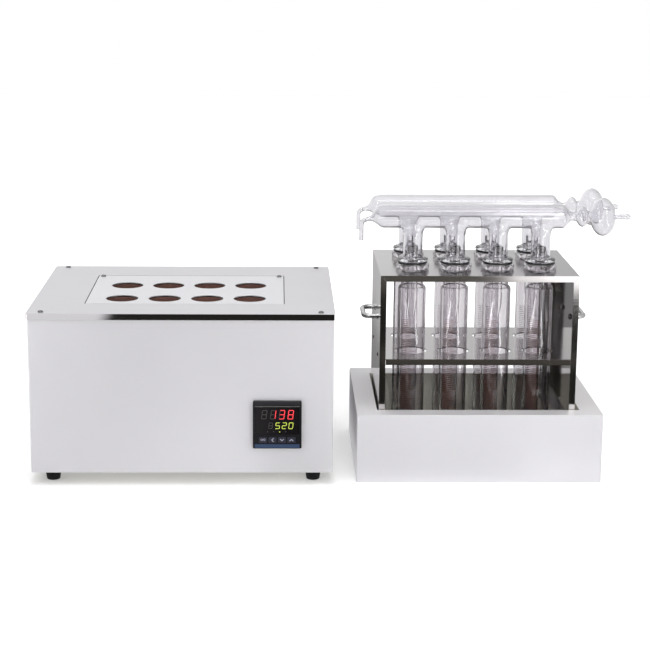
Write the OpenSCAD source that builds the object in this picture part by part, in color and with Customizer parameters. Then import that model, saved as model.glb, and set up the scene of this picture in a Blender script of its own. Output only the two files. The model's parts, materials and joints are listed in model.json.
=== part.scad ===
// Eight-place block digester: a heater with eight wells, and a rack of eight glass digestion
// tubes with two glass fume manifolds, standing in its drip tray.
// All positions are in millimetres from the heater lid's left front corner, at bench level,
// and on_bench() moves them to the centre of the whole set.

/* [Heater case] */
// Width of the lid over its skirts
lid_w = 452; // [430:1:500]
// Depth of the lid over its skirts
lid_d = 366; // [350:1:420]
// Height of the lid's top above the bench
heater_h = 260; // [250:1:300]
// Height of the folded skirt round the lid
skirt_h = 9; // [6:0.5:14]
// Thickness of all sheet metal
sheet = 1.5; // [1.2:0.1:2]
// Gap between the lid's skirt and the case wall
skirt_gap = 0.5; // [0.3:0.1:1]
// Corner radius of the folded sheet
bend_r = 2; // [1:0.5:4]
// Height of the base plate's turned-up edge
base_edge_h = 12; // [8:1:20]
// Height of the rubber feet
foot_h = 18; // [12:1:25]
// Radius of a foot where it meets the case
foot_top_r = 12.5; // [10:0.5:15]
// Radius of a foot on the bench
foot_bottom_r = 10; // [8:0.5:12]
// Distance of a foot's centre from the lid's edges
foot_inset = 31; // [25:1:40]
// Radius of the feet screws
foot_screw_r = 2.5; // [2:0.25:3]
// Distance of the lid screws from the side edges
lid_screw_x = 21; // [15:1:30]
// Distance of the lid screws from the front and back edges
lid_screw_y = 12; // [10:1:16]
// Radius of the small cross-head screws
screw_r = 2; // [1.5:0.1:2.5]
// Radius of the small screws' heads
screw_head_r = 4; // [3:0.25:5]

/* [Insert plate and wells] */
// Width of the insert plate
insert_w = 297; // [285:1:310]
// Depth of the insert plate
insert_d = 213; // [200:1:230]
// Distance of the insert plate from the lid's front edge
insert_front = 73; // [60:1:90]
// How far the insert plate sits right of the lid's centre line
insert_shift = 2; // [0:0.5:4]
// Gap round the insert plate
insert_gap = 1.2; // [0.6:0.1:2]
// Width of the seat frame's outer part under the lid
seat_w = 8; // [5:0.5:10]
// Spacing of the wells and tubes along a row
pitch_x = 64.5; // [62:0.5:68]
// Spacing of the two rows
pitch_y = 98; // [90:1:104]
// Distance of the front row of wells from the insert plate's front edge
row_front = 38; // [34:1:50]
// Diameter of the holes in the insert plate
hole_d = 49; // [48:0.5:54]
// Inner diameter of a well liner
well_d = 48; // [45:0.5:48]
// Depth of a well liner
well_depth = 64; // [50:1:70]
// Wall of a well liner
well_wall = 3; // [2:0.5:3]
// Width of the heating block's casing beyond the outer wells' centres
block_margin = 43; // [40:1:46]
// Height of the heating block's casing
block_h = 75; // [72:1:90]

/* [Temperature controller] */
// Side of the controller's square bezel
bezel_w = 72; // [68:1:76]
// Height of the controller's centre above the bench
control_z = 93.5; // [80:0.5:110]
// Distance of the controller's centre from the lid's right edge
control_right = 85; // [60:1:120]
// How far the bezel stands in front of the case
bezel_depth = 8; // [7:0.5:12]
// Height of the sloping brow along the bezel's top
brow_h = 6.5; // [4:0.5:8]
// Width of the display window
window_w = 66; // [56:0.5:66]
// Height of the display window
window_h = 42.5; // [36:0.5:43]
// Spacing of the four keys
key_pitch = 14; // [13:0.25:15]
// Width of a key
key_w = 11.5; // [9:0.25:12]
// Height of a key
key_h = 8.5; // [6:0.25:8.5]
// Travel of a key
key_travel = 0.5; // [0.3:0.1:0.8]
// Height of the coloured strip under the keys
strip_h = 5.4; // [4:0.2:5.5]
// Length of the controller's body behind the panel
control_body_l = 70; // [50:1:74]

/* [Drip tray] */
// Gap between the heater and the drip tray
unit_gap = 34; // [25:1:60]
// Width of the drip tray
tray_w = 368; // [360:1:400]
// Depth of the drip tray
tray_d = 282; // [280:1:310]
// Height of the drip tray
tray_h = 105; // [100:1:130]
// How far the tray's front lies behind the lid's front edge
tray_setback = 10; // [0:1:40]
// Width of the ledge at the tray's left and right
ledge_side = 31; // [25:1:31]
// Width of the ledge at the tray's front
ledge_front = 28; // [20:1:28]
// Width of the ledge at the tray's back
ledge_back = 34; // [25:1:34]
// Height of the rails that carry the rack
rail_h = 66; // [50:1:80]
// Width of the rails' top
rail_w = 19; // [16:1:22]

/* [Rack] */
// Width of the rack
rack_w = 296; // [290:1:298]
// Depth of the rack
rack_d = 216; // [200:1:216]
// Height of the rack's top plate above the bench
rack_top_z = 310; // [300:1:330]
// How far the rack stands left of the tray's centre line
rack_offset = 2.5; // [0:0.5:3]
// Gap between the rack's front and the tray's recess
rack_front_gap = 2; // [1:0.5:4]
// Width of the flanges folded in at the rack's front
front_flange = 9; // [7:0.5:12]
// Width of the flanges folded in at the rack's back
back_flange = 18; // [10:1:20]
// Width of the flange folded in along the foot of a side panel
foot_flange = 12; // [8:1:14]
// Height of the shelf's upper face above the bench
shelf_z = 183; // [150:1:220]
// Diameter of the holes in the shelf
shelf_hole_d = 48; // [45:0.5:54]
// Diameter of the holes in the top plate
top_hole_d = 44; // [43.5:0.5:46]
// Height of the handles above the bench
handle_z = 235; // [210:1:260]
// Spacing of a handle's legs
handle_pitch = 68; // [50:1:90]
// How far a handle reaches out from the side panel
handle_reach = 24.5; // [20:0.5:35]
// Radius of a handle's bar
handle_r = 3.75; // [3:0.25:4.5]
// How far the handles' middle lies in front of the rack's centre line
handle_forward = 11; // [0:1:30]

/* [Digestion tubes] */
// Outer diameter of a tube
tube_d = 42; // [40:0.5:43]
// Length of a tube
tube_l = 300; // [250:1:306]
// Wall of the tubes
glass_wall = 2; // [1.5:0.1:2.5]
// Outer diameter of a tube's neck
neck_d = 34; // [32:0.5:38]
// Outer diameter of a tube's rim
rim_d = 50; // [48:0.5:54]
// Height of a tube's rim above the top plate
rim_h = 9; // [7:0.5:12]
// Thickness of the gaskets on the rims
gasket_t = 3; // [2:0.25:4]
// Outer diameter of the gaskets
gasket_d = 44; // [42:0.5:46]

/* [Fume manifolds] */
// Height of a manifold's axis above the bench
manifold_z = 390; // [380:1:410]
// Outer diameter of a manifold's main tube
main_d = 36; // [32:0.5:40]
// Outer diameter of a manifold's legs
leg_d = 29.4; // [26:0.2:31]
// Outer diameter of the flange at the foot of a leg
leg_flange_d = 46; // [44:0.5:50]
// Thickness of that flange
leg_flange_t = 5; // [4:0.5:7]
// Outer diameter of the drip tube inside a leg
drip_d = 16; // [12:0.5:18]
// Length of the drip tube below the flange
drip_l = 86; // [40:1:90]
// Height of the drip tube's open top above the flange
drip_up = 22; // [12:1:26]
// Length of the main tube beyond the outer legs on the left
main_left = 48; // [36:1:56]
// Length of the main tube beyond the outer legs on the right
main_right = 34; // [30:1:60]
// Length of the funnel between the main tube and the drain
funnel_l = 25; // [18:1:30]
// Drop of the drain's axis below the main tube's axis
drain_drop = 6; // [0:0.5:8]
// Outer diameter of the drain
drain_d = 7; // [6:0.25:9]
// Radius of the drain's bend
drain_bend_r = 7.5; // [6:0.5:12]
// Length of the drain's straight end
drain_l = 24; // [15:1:40]
// Radius of the necks between the bulbs
bulb_neck_r = 6.5; // [5:0.5:8]
// Length of the shoulder before the bulbs
shoulder_l = 11; // [8:1:16]
// Radius of the small bulb
small_bulb_r = 15.6; // [12:0.2:18]
// Length of the small bulb
small_bulb_l = 19; // [16:0.5:24]
// Radius of the large bulb
large_bulb_r = 29; // [24:0.5:32]
// Length of the large bulb
large_bulb_l = 38; // [32:1:46]
// Radius of the hose barb
barb_r = 3.8; // [3:0.1:5]
// Length of the hose barb
barb_l = 22; // [15:1:30]
// Number of ribs on the hose barb
barb_ribs = 4; // [2:1:5]

/* [Hidden] */
$fn = 64;

columns = 4;
rows = 2;
// Overlap that makes a cut run clean through a face
cut = 1;

// Case
wall_in = sheet + skirt_gap;
case_w = lid_w - 2 * wall_in;
case_d = lid_d - 2 * wall_in;
case_top = heater_h - sheet;
inner_x = wall_in + sheet;
rear_y = lid_d - wall_in;
floor_z = foot_h + sheet;
tab_w = 32;
tab_d = 22;
hole_play = 0.25;
screw_head_h = 2.4;
screw_l = 9;
foot_bore_r = 5.6;
foot_bore_h = 8;
foot_head_h = 3.4;
foot_nut_r = 4.6;
foot_nut_h = 4;
foot_xy = [for (x = [foot_inset, lid_w - foot_inset], y = [foot_inset, lid_d - foot_inset]) [x, y]];
lid_screw_xy = [for (x = [lid_screw_x, lid_w - lid_screw_x], y = [lid_screw_y, lid_d - lid_screw_y])
    [x, y]];
base_screw_y = [lid_d * 0.2, lid_d * 0.8];
base_screw_z = floor_z + 6;

// Insert plate and wells
insert_x = (lid_w - insert_w) / 2 + insert_shift;
insert_screw_in = 7;
insert_screw_xy = [for (x = [insert_x + insert_screw_in, insert_x + insert_w - insert_screw_in])
    [x, insert_front + insert_d - insert_screw_in + 1]];
well_x = insert_x + insert_w / 2 - pitch_x * (columns - 1) / 2;
well_y = insert_front + row_front;
seat_gap = 0.5;
well_top = heater_h - 2 * sheet - seat_gap;
seat_in = 12;
well_collar_r = 30;
well_collar_t = 4;
well_floor_t = 4;
deck_z = well_top - 6.5;
block_x = well_x - block_margin;
block_y = well_y - block_margin;
block_w = pitch_x * (columns - 1) + 2 * block_margin;
block_d = pitch_y * (rows - 1) + 2 * block_margin;
block_z = deck_z - block_h;
block_fit = 0.5;
heater_fit = 0.3;
heater_t = 2.6;
heater_band_h = 36;
heater_lift = 10;
bore_r = well_d / 2 + well_wall + heater_fit + heater_t + heater_fit;
well_bottom = well_top - well_depth - well_floor_t;
post_r = 7;
post_in = 16;
probe_r = 3;
probe_l = 130;
probe_z = block_z + 30;

// Controller
control_x = lid_w - control_right;
bezel_y = wall_in - bezel_depth;
cut_w = bezel_w - 4;
body_w = cut_w - 1;
window_z = control_z + bezel_w / 2 - brow_h - 1.2 - window_h / 2;
pocket_fit = 0.3;
window_t = 1.2;
window_pocket = 1.6;
key_z = control_z - 22.5;
key_t = 3;
key_proud = 0.5;
key_play = 0.25;
strip_z = control_z - 31.8;
strip_t = 0.7;
strip_pocket = 0.5;
clamp_w = cut_w + 10;
clamp_l = 10;

// Rear panel
inlet_x = 70;
switch_x = 130;
panel_z = 60;
inlet_w = 50;
inlet_h = 34;
inlet_t = 3;
inlet_body_w = 36;
inlet_body_h = 30;
inlet_body_l = 28;
switch_w = 30;
switch_h = 24;
switch_t = 2;
switch_body_w = 26;
switch_body_h = 20;
switch_body_l = 22;
rocker_play = 0.4;
rocker_w = switch_body_w - 6;
rocker_h = switch_body_h - 4;
rocker_tilt = 9;
rocker_half = rocker_h / 2 - 0.6;
rocker_top = switch_t + 1.6;
rocker_pin_r = 1.2;
vent_l = 34;
vent_h = 4;
vent_rows = 6;
vent_pitch = 9;

// Tray
tray_x = lid_w + unit_gap;
tray_y = tray_setback;
recess_x = tray_x + ledge_side;
recess_y = tray_y + ledge_front;
recess_w = tray_w - 2 * ledge_side;
recess_d = tray_d - ledge_front - ledge_back;
rail_drop = 20;
rail_in = 6;

// Rack
rack_x = recess_x + recess_w / 2 - rack_offset - rack_w / 2;
rack_y = recess_y + rack_front_gap;
rack_mid_x = rack_x + rack_w / 2;
rack_mid_y = rack_y + rack_d / 2;
kerf = 0.4;
shelf_fit = 0.4;
rivet_r = 1.6;
rivet_head_r = 3.2;
rivet_y = [rack_y + 50, rack_y + rack_d - 50];
handle_y = [for (s = [-1, 1]) rack_mid_y - handle_forward + s * handle_pitch / 2];
handle_corner_r = 12;
handle_screw_r = 2;
handle_screw_in = 12;
handle_head_r = 4.6;
handle_head_h = 3;

// Tubes and manifolds
tube_x = rack_mid_x - pitch_x * (columns - 1) / 2;
front_row_y = rack_mid_y - pitch_y / 2;
back_row_y = rack_mid_y + pitch_y / 2;
rim_top = rack_top_z + rim_h;
tube_r = tube_d / 2;
neck_r = neck_d / 2;
shoulder_z = rack_top_z - 22;
seat_r = top_hole_d / 2 - 0.5;
flange_z = rim_top + gasket_t;
leg_r = leg_d / 2;
drip_r = drip_d / 2;
drip_wall = 1.5;
drip_tip_r = drip_r * 0.62;
manifold_wall = 1.6;
drip_fit = 0.05;
flare_h = 16;
flare_w = 5;
flare_z = -main_d / 2 - 11;
drain_r = drain_d / 2;
barb_bore_r = barb_r - 1.4;
// Degrees and radius by which the drain's bend reaches into its straight ends
lap = 2;
lap_r = 0.02;
main_r = main_d / 2;
main_x0 = tube_x - main_left;
main_x1 = tube_x + pitch_x * (columns - 1) + main_right;
neck_1 = main_x1 + shoulder_l;
bulb_1 = neck_1 + 7 + small_bulb_l / 2;
bulb_2 = bulb_1 + small_bulb_l / 2 + 2.5 + large_bulb_l / 2;
barb_x = bulb_2 + large_bulb_l / 2 + 0.5;
barb_tip = barb_x + barb_l;
drain_tilt = asin(drain_drop / funnel_l);
bend_x = main_x0 - funnel_l * cos(drain_tilt) + drain_bend_r * sin(drain_tilt);
bend_z = -drain_drop - drain_bend_r * cos(drain_tilt);

// The whole set
front_y = bezel_y - key_proud;
back_y = rear_y - 2 + (rocker_top + 2) * cos(rocker_tilt / 2) + rocker_half * sin(rocker_tilt / 2);
origin = [barb_tip / 2, (front_y + back_y) / 2, 0];

module on_bench() {
    translate(-origin) children();
}

// Exact rounded rectangle and slab, measured from one corner
module rounded_rect(w, d, r) {
    translate([r, 0]) square([w - 2 * r, d]);
    translate([0, r]) square([w, d - 2 * r]);
    for (x = [r, w - r], y = [r, d - r]) translate([x, y]) circle(r);
}

module slab(w, d, h, r) {
    linear_extrude(h) rounded_rect(w, d, r);
}

// Plate lying in a front or rear panel, from the panel's face towards +Y
module upright_slab(w, h, t, r) {
    translate([-w / 2, t, -h / 2]) rotate([90, 0, 0]) linear_extrude(t) rounded_rect(w, h, r);
}

module at_wells() {
    for (i = [0 : columns - 1], j = [0 : rows - 1])
        translate([well_x + i * pitch_x, well_y + j * pitch_y, 0]) children();
}

module at_tubes(row_y) {
    for (i = [0 : columns - 1]) translate([tube_x + i * pitch_x, row_y, 0]) children();
}

// Cross-head pan screw, its head's underside at z = 0 and its shank pointing down
module pan_screw(r, head_r, head_h, l) {
    difference() {
        rotate_extrude() polygon([[0, -l], [r * 0.8, -l], [r, -l + 1], [r, 0], [head_r, 0],
            [head_r, head_h * 0.45], [head_r * 0.8, head_h * 0.85], [head_r * 0.5, head_h], [0, head_h]]);
        for (a = [0, 90]) rotate(a) translate([-head_r * 0.55, -0.35, head_h * 0.45])
            cube([head_r * 1.1, 0.7, head_h]);
    }
}

// ---- Heater case ----

module case_shell() {
    color("gainsboro") on_bench() difference() {
        union() {
            difference() {
                translate([wall_in, wall_in, foot_h]) slab(case_w, case_d, case_top - foot_h, bend_r);
                translate([inner_x, inner_x, foot_h - cut])
                    cube([case_w - 2 * sheet, case_d - 2 * sheet, case_top - foot_h + 2 * cut]);
            }
            for (x = [inner_x, lid_w - inner_x - tab_w], y = [inner_x, lid_d - inner_x - tab_d])
                translate([x - 0.2, y - 0.2, case_top - sheet]) cube([tab_w + 0.4, tab_d + 0.4, sheet]);
        }
        for (p = lid_screw_xy) translate([p[0], p[1], case_top - sheet - cut])
            cylinder(r = screw_r + hole_play, h = sheet + 2 * cut);
        translate([control_x - cut_w / 2, wall_in - cut, control_z - cut_w / 2])
            cube([cut_w, sheet + 2 * cut, cut_w]);
        rear_cutouts();
        base_screw_holes();
    }
}

module rear_cutouts() {
    y = rear_y - sheet - cut;
    t = sheet + 2 * cut;
    translate([inlet_x - inlet_body_w / 2 - hole_play, y, panel_z - inlet_body_h / 2 - hole_play])
        cube([inlet_body_w + 2 * hole_play, t, inlet_body_h + 2 * hole_play]);
    translate([switch_x - switch_body_w / 2 - hole_play, y, panel_z - switch_body_h / 2 - hole_play])
        cube([switch_body_w + 2 * hole_play, t, switch_body_h + 2 * hole_play]);
    for (x = [lid_w * 0.55, lid_w * 0.7, lid_w * 0.85], j = [0 : vent_rows - 1])
        translate([x, y, panel_z - 20 + j * vent_pitch]) cube([vent_l, t, vent_h]);
}

module base_screw_holes() {
    for (x = [wall_in, lid_w - inner_x], y = base_screw_y)
        translate([x - 2 * sheet, y, base_screw_z]) rotate([0, 90, 0])
            cylinder(r = screw_r + hole_play, h = 5 * sheet);
}

module base_plate() {
    w = case_w - 2 * sheet;
    d = case_d - 2 * sheet;
    color("silver") on_bench() difference() {
        translate([inner_x, inner_x, foot_h]) cube([w, d, base_edge_h]);
        translate([inner_x + sheet, inner_x + sheet, floor_z])
            cube([w - 2 * sheet, d - 2 * sheet, base_edge_h]);
        for (p = foot_xy) translate([p[0], p[1], foot_h - cut])
            cylinder(r = foot_screw_r + hole_play, h = sheet + 2 * cut);
        for (i = [0 : vent_rows], j = [0, 1])
            translate([lid_w / 2 - 60 + i * 2 * vent_pitch, lid_d * (0.2 + j * 0.18), foot_h - cut])
                cube([vent_h, vent_l, sheet + 2 * cut]);
        base_screw_holes();
    }
}

module base_screws() {
    color("dimgray") on_bench() for (y = base_screw_y) {
        translate([wall_in, y, base_screw_z]) rotate([0, -90, 0])
            pan_screw(screw_r, screw_head_r * 0.8, skirt_gap + sheet - 0.2, screw_l);
        translate([lid_w - wall_in, y, base_screw_z]) rotate([0, 90, 0])
            pan_screw(screw_r, screw_head_r * 0.8, skirt_gap + sheet - 0.2, screw_l);
    }
}

module feet() {
    color("black") on_bench() for (p = foot_xy) translate([p[0], p[1], 0]) rotate_extrude()
        polygon([[foot_bore_r, 0], [foot_bottom_r - 0.8, 0], [foot_bottom_r, 0.8],
            [foot_top_r, foot_h - 1.5], [foot_top_r - 0.5, foot_h], [foot_screw_r + hole_play, foot_h],
            [foot_screw_r + hole_play, foot_bore_h], [foot_bore_r, foot_bore_h]]);
}

module foot_screws() {
    color("dimgray") on_bench() for (p = foot_xy) translate([p[0], p[1], foot_bore_h])
        mirror([0, 0, 1])
            pan_screw(foot_screw_r, foot_bore_r - 0.6, foot_head_h, floor_z + foot_nut_h + 2 - foot_bore_h);
}

module foot_nuts() {
    color("silver") on_bench() for (p = foot_xy) translate([p[0], p[1], floor_z]) difference() {
        cylinder(r = foot_nut_r, h = foot_nut_h, $fn = 6);
        translate([0, 0, -cut]) cylinder(r = foot_screw_r + 0.05, h = foot_nut_h + 2 * cut);
    }
}

// ---- Lid and insert plate ----

module lid() {
    open_x = insert_x - insert_gap;
    open_y = insert_front - insert_gap;
    open_w = insert_w + 2 * insert_gap;
    open_d = insert_d + 2 * insert_gap;
    color("gainsboro") on_bench() difference() {
        union() {
            difference() {
                translate([0, 0, heater_h - skirt_h]) slab(lid_w, lid_d, skirt_h, bend_r);
                translate([sheet, sheet, heater_h - skirt_h - cut])
                    cube([lid_w - 2 * sheet, lid_d - 2 * sheet, skirt_h - sheet + cut]);
                translate([open_x, open_y, heater_h - skirt_h]) cube([open_w, open_d, 2 * skirt_h]);
            }
            translate([0, 0, heater_h - 2 * sheet]) difference() {
                translate([open_x - seat_w, open_y - seat_w, 0])
                    cube([open_w + 2 * seat_w, open_d + 2 * seat_w, sheet]);
                translate([open_x + seat_in, open_y + seat_in, -cut])
                    cube([open_w - 2 * seat_in, open_d - 2 * seat_in, sheet + 2 * cut]);
            }
        }
        for (p = concat(lid_screw_xy, insert_screw_xy)) translate([p[0], p[1], heater_h - skirt_h])
            cylinder(r = screw_r + hole_play, h = 2 * skirt_h);
    }
}

module lid_screws() {
    color("dimgray") on_bench() for (p = lid_screw_xy) translate([p[0], p[1], heater_h])
        pan_screw(screw_r, screw_head_r, screw_head_h, screw_l);
}

module insert_plate() {
    color("whitesmoke") on_bench() difference() {
        translate([insert_x, insert_front, heater_h - sheet]) cube([insert_w, insert_d, sheet]);
        at_wells() translate([0, 0, heater_h - sheet - cut]) cylinder(d = hole_d, h = sheet + 2 * cut);
        for (p = insert_screw_xy) translate([p[0], p[1], heater_h - sheet - cut])
            cylinder(r = screw_r + hole_play, h = sheet + 2 * cut);
    }
}

module insert_screws() {
    color("dimgray") on_bench() for (p = insert_screw_xy) translate([p[0], p[1], heater_h])
        pan_screw(screw_r, screw_head_r, screw_head_h, screw_l);
}

// ---- Heating block ----

module block_case() {
    color("darkgray") on_bench() difference() {
        translate([block_x, block_y, block_z]) cube([block_w, block_d, block_h]);
        translate([block_x + sheet, block_y + sheet, block_z + sheet])
            cube([block_w - 2 * sheet, block_d - 2 * sheet, block_h - 2 * sheet]);
        at_wells() translate([0, 0, deck_z - sheet - cut])
            cylinder(r = well_d / 2 + well_wall + block_fit, h = sheet + 2 * cut);
        translate([block_x - cut, well_y + pitch_y / 2, probe_z]) rotate([0, 90, 0])
            cylinder(r = probe_r + hole_play, h = sheet + 2 * cut);
    }
}

module block_posts() {
    color("silver") on_bench()
        for (x = [block_x + post_in, block_x + block_w - post_in],
             y = [block_y + post_in, block_y + block_d - post_in])
            translate([x, y, floor_z]) cylinder(r = post_r, h = block_z - floor_z);
}

module insulation() {
    x = block_x + sheet + block_fit;
    y = block_y + sheet + block_fit;
    z = block_z + sheet;
    color("ivory") on_bench() difference() {
        translate([x, y, z]) cube([block_w - 2 * (sheet + block_fit),
            block_d - 2 * (sheet + block_fit), deck_z - sheet - block_fit - z]);
        at_wells() translate([0, 0, well_bottom])
            cylinder(r = well_d / 2 + well_wall + heater_fit, h = well_depth + 20);
        at_wells() translate([0, 0, well_bottom + heater_lift]) cylinder(r = bore_r, h = well_depth + 20);
        translate([x - cut, well_y + pitch_y / 2, probe_z]) rotate([0, 90, 0])
            cylinder(r = probe_r + hole_play, h = probe_l);
    }
}

module well_liners() {
    r = well_d / 2;
    color("sienna") on_bench() at_wells() rotate_extrude()
        polygon([[0, well_bottom], [r + well_wall - 2, well_bottom], [r + well_wall, well_bottom + 2],
            [r + well_wall, deck_z], [well_collar_r, deck_z], [well_collar_r, deck_z + well_collar_t],
            [r + well_wall, deck_z + well_collar_t], [r + well_wall, well_top], [r, well_top],
            [r, well_top - well_depth], [0, well_top - well_depth]]);
}

module band_heaters() {
    inner = well_d / 2 + well_wall + heater_fit;
    color("peru") on_bench() at_wells() translate([0, 0, well_bottom + heater_lift]) difference() {
        cylinder(r = inner + heater_t, h = heater_band_h);
        translate([0, 0, -cut]) cylinder(r = inner, h = heater_band_h + 2 * cut);
        translate([inner - 2, -1.5, -cut]) cube([10, 3, heater_band_h + 2 * cut]);
    }
}

module temperature_probe() {
    color("silver") on_bench() translate([block_x, well_y + pitch_y / 2, probe_z]) rotate([0, 90, 0]) {
        cylinder(r = probe_r, h = probe_l - 10);
        translate([0, 0, -10]) cylinder(r = 2.5 * probe_r, h = 10, $fn = 6);
    }
}

// ---- Power and control electrics ----

module heat_sink() {
    w = 96;
    fins = 9;
    color("silver") on_bench() translate([lid_w * 0.28, lid_d * 0.58, floor_z]) {
        cube([w, 64, 6]);
        for (i = [0 : fins - 1]) translate([i * (w - 2.5) / (fins - 1), 0, 0]) cube([2.5, 64, 30]);
    }
}

module relay() {
    color("whitesmoke") on_bench() translate([lid_w * 0.28 + 20, lid_d * 0.58 + 10, floor_z + 30])
        difference() {
            cube([56, 44, 24]);
            for (x = [6, 50], y = [8, 36]) translate([x, y, 16]) cylinder(r = 3.2, h = 12);
        }
}

module terminal_block() {
    color("black") on_bench() translate([lid_w * 0.62, lid_d * 0.8, floor_z]) difference() {
        cube([72, 22, 18]);
        for (i = [0 : 5]) {
            translate([7 + i * 11.6, 6, 10]) cylinder(r = 2.6, h = 12);
            translate([7 + i * 11.6, 16, 10]) cylinder(r = 2.6, h = 12);
        }
    }
}

module power_inlet() {
    color("black") on_bench() translate([inlet_x, rear_y, panel_z]) difference() {
        union() {
            upright_slab(inlet_w, inlet_h, inlet_t, 4);
            translate([-inlet_body_w / 2, -inlet_body_l, -inlet_body_h / 2])
                cube([inlet_body_w, inlet_body_l + 0.5, inlet_body_h]);
        }
        difference() {
            translate([-13, -16, -9]) cube([26, 30, 18]);
            for (p = [[-7, -5], [0, 0], [7, -5]]) translate([p[0] - 1, -17, p[1]]) cube([2, 15, 5]);
        }
    }
}

module switch_frame() {
    color("black") on_bench() translate([switch_x, rear_y, panel_z]) difference() {
        union() {
            upright_slab(switch_w, switch_h, switch_t, 2);
            translate([-switch_body_w / 2, -switch_body_l, -switch_body_h / 2])
                cube([switch_body_w, switch_body_l + 0.5, switch_body_h]);
        }
        translate([-rocker_w / 2 - rocker_play, -10, -rocker_h / 2 - rocker_play])
            cube([rocker_w + 2 * rocker_play, 20, rocker_h + 2 * rocker_play]);
        rocker_pin(rocker_pin_r + 0.05, rocker_w / 2 + 2.1);
    }
}

module rocker_pin(r, half) {
    translate([-half, -2, 0]) rotate([0, 90, 0]) cylinder(r = r, h = 2 * half);
}

// Rocker with two flat halves that meet at a shallow angle, tilted to its off side
module switch_rocker() {
    color("darkred") on_bench() translate([switch_x, rear_y, panel_z]) {
        translate([0, -2, 0]) rotate([-rocker_tilt / 2, 0, 0]) translate([0, 2, 0])
            rotate([90, 0, 90]) translate([0, 0, -rocker_w / 2]) linear_extrude(rocker_w)
                polygon([[-4, -rocker_half * 0.6], [rocker_top, -rocker_half], [rocker_top - 0.8, 0],
                    [rocker_top, rocker_half], [-4, rocker_half * 0.6]]);
        rocker_pin(rocker_pin_r, rocker_w / 2 + 2);
    }
}

module control_case() {
    color("dimgray") on_bench() translate([control_x - body_w / 2, wall_in, control_z - body_w / 2])
        cube([body_w, control_body_l, body_w]);
}

module control_clamp() {
    color("black") on_bench() translate([control_x, wall_in + sheet, control_z]) difference() {
        upright_slab(clamp_w, clamp_w, clamp_l, 3);
        translate([-body_w / 2 - hole_play, -cut, -body_w / 2 - hole_play])
            cube([body_w + 2 * hole_play, clamp_l + 2 * cut, body_w + 2 * hole_play]);
    }
}

module control_bezel() {
    half = bezel_w / 2;
    color("black") on_bench() difference() {
        intersection() {
            translate([control_x, bezel_y, control_z]) upright_slab(bezel_w, bezel_w, bezel_depth, 2);
            translate([control_x - half - cut, wall_in, control_z]) rotate([90, 0, 90])
                linear_extrude(bezel_w + 2 * cut)
                    polygon([[0, -half], [-bezel_depth + 1, -half], [-bezel_depth, -half + 1],
                        [-bezel_depth, half - brow_h], [-bezel_depth + 2.5, half], [0, half]]);
        }
        translate([control_x - window_w / 2 - pocket_fit, bezel_y - cut,
            window_z - window_h / 2 - pocket_fit])
            cube([window_w + 2 * pocket_fit, window_pocket + cut, window_h + 2 * pocket_fit]);
        for (i = [0 : 3]) translate([control_x + (i - 1.5) * key_pitch, bezel_y - cut, key_z])
            translate([-key_w / 2 - key_play, 0, -key_h / 2 - key_play])
                cube([key_w + 2 * key_play, key_t + key_travel + 0.1 - key_proud + cut,
                    key_h + 2 * key_play]);
        translate([control_x - window_w / 2 - pocket_fit / 2, bezel_y - cut,
            strip_z - strip_h / 2 - pocket_fit / 2])
            cube([window_w + pocket_fit, strip_pocket + cut, strip_h + pocket_fit]);
    }
}

module control_window() {
    color("darkslategray") on_bench()
        translate([control_x, bezel_y + window_pocket - window_t, window_z])
            upright_slab(window_w, window_h, window_t, 0.8);
}

module control_strip() {
    color("steelblue") on_bench() translate([control_x, bezel_y + strip_pocket - strip_t, strip_z])
        upright_slab(window_w, strip_h, strip_t, 0.5);
}

module key(i) {
    color("slategray") on_bench()
        translate([control_x + (i - 1.5) * key_pitch, bezel_y - key_proud, key_z])
            upright_slab(key_w, key_h, key_t, 1.5);
}

module key_set() { key(0); }
module key_shift() { key(1); }
module key_down() { key(2); }
module key_up() { key(3); }

// ---- Drip tray ----

module tray_shell() {
    color("gainsboro") on_bench() difference() {
        translate([tray_x, tray_y, 0]) slab(tray_w, tray_d, tray_h, bend_r);
        difference() {
            translate([tray_x + sheet, tray_y + sheet, -cut])
                cube([tray_w - 2 * sheet, tray_d - 2 * sheet, tray_h - sheet + cut]);
            translate([recess_x - sheet, recess_y - sheet, sheet])
                cube([recess_w + 2 * sheet, recess_d + 2 * sheet, tray_h]);
        }
        translate([recess_x, recess_y, -cut]) cube([recess_w, recess_d, tray_h + 2 * cut]);
    }
}

module tray_floor() {
    color("silver") on_bench() translate([tray_x + sheet, tray_y + sheet, 0])
        cube([tray_w - 2 * sheet, tray_d - 2 * sheet, sheet]);
}

// Folded rail: a top that carries the rack's foot flange and a leg against the recess wall
module rail(x, side) {
    l = recess_d - 2 * rail_in;
    translate([x, recess_y + rail_in, rail_h]) mirror([side, 0, 0]) {
        translate([0, 0, -sheet]) cube([rail_w, l, sheet]);
        translate([0, 0, -rail_drop]) cube([sheet, l, rail_drop]);
        translate([rail_w - sheet, 0, -rail_in]) cube([sheet, l, rail_in]);
    }
}

module rack_rails() {
    color("silver") on_bench() {
        rail(recess_x, 0);
        rail(recess_x + recess_w, 1);
    }
}

// ---- Rack ----

// Outline of the rack's front: top and two side panels, each strip of the given width
module rack_strip(width, low) {
    difference() {
        translate([0, low]) square([rack_w, rack_top_z - low]);
        translate([width, low - cut]) square([rack_w - 2 * width, rack_top_z - low - width + cut]);
    }
}

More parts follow.
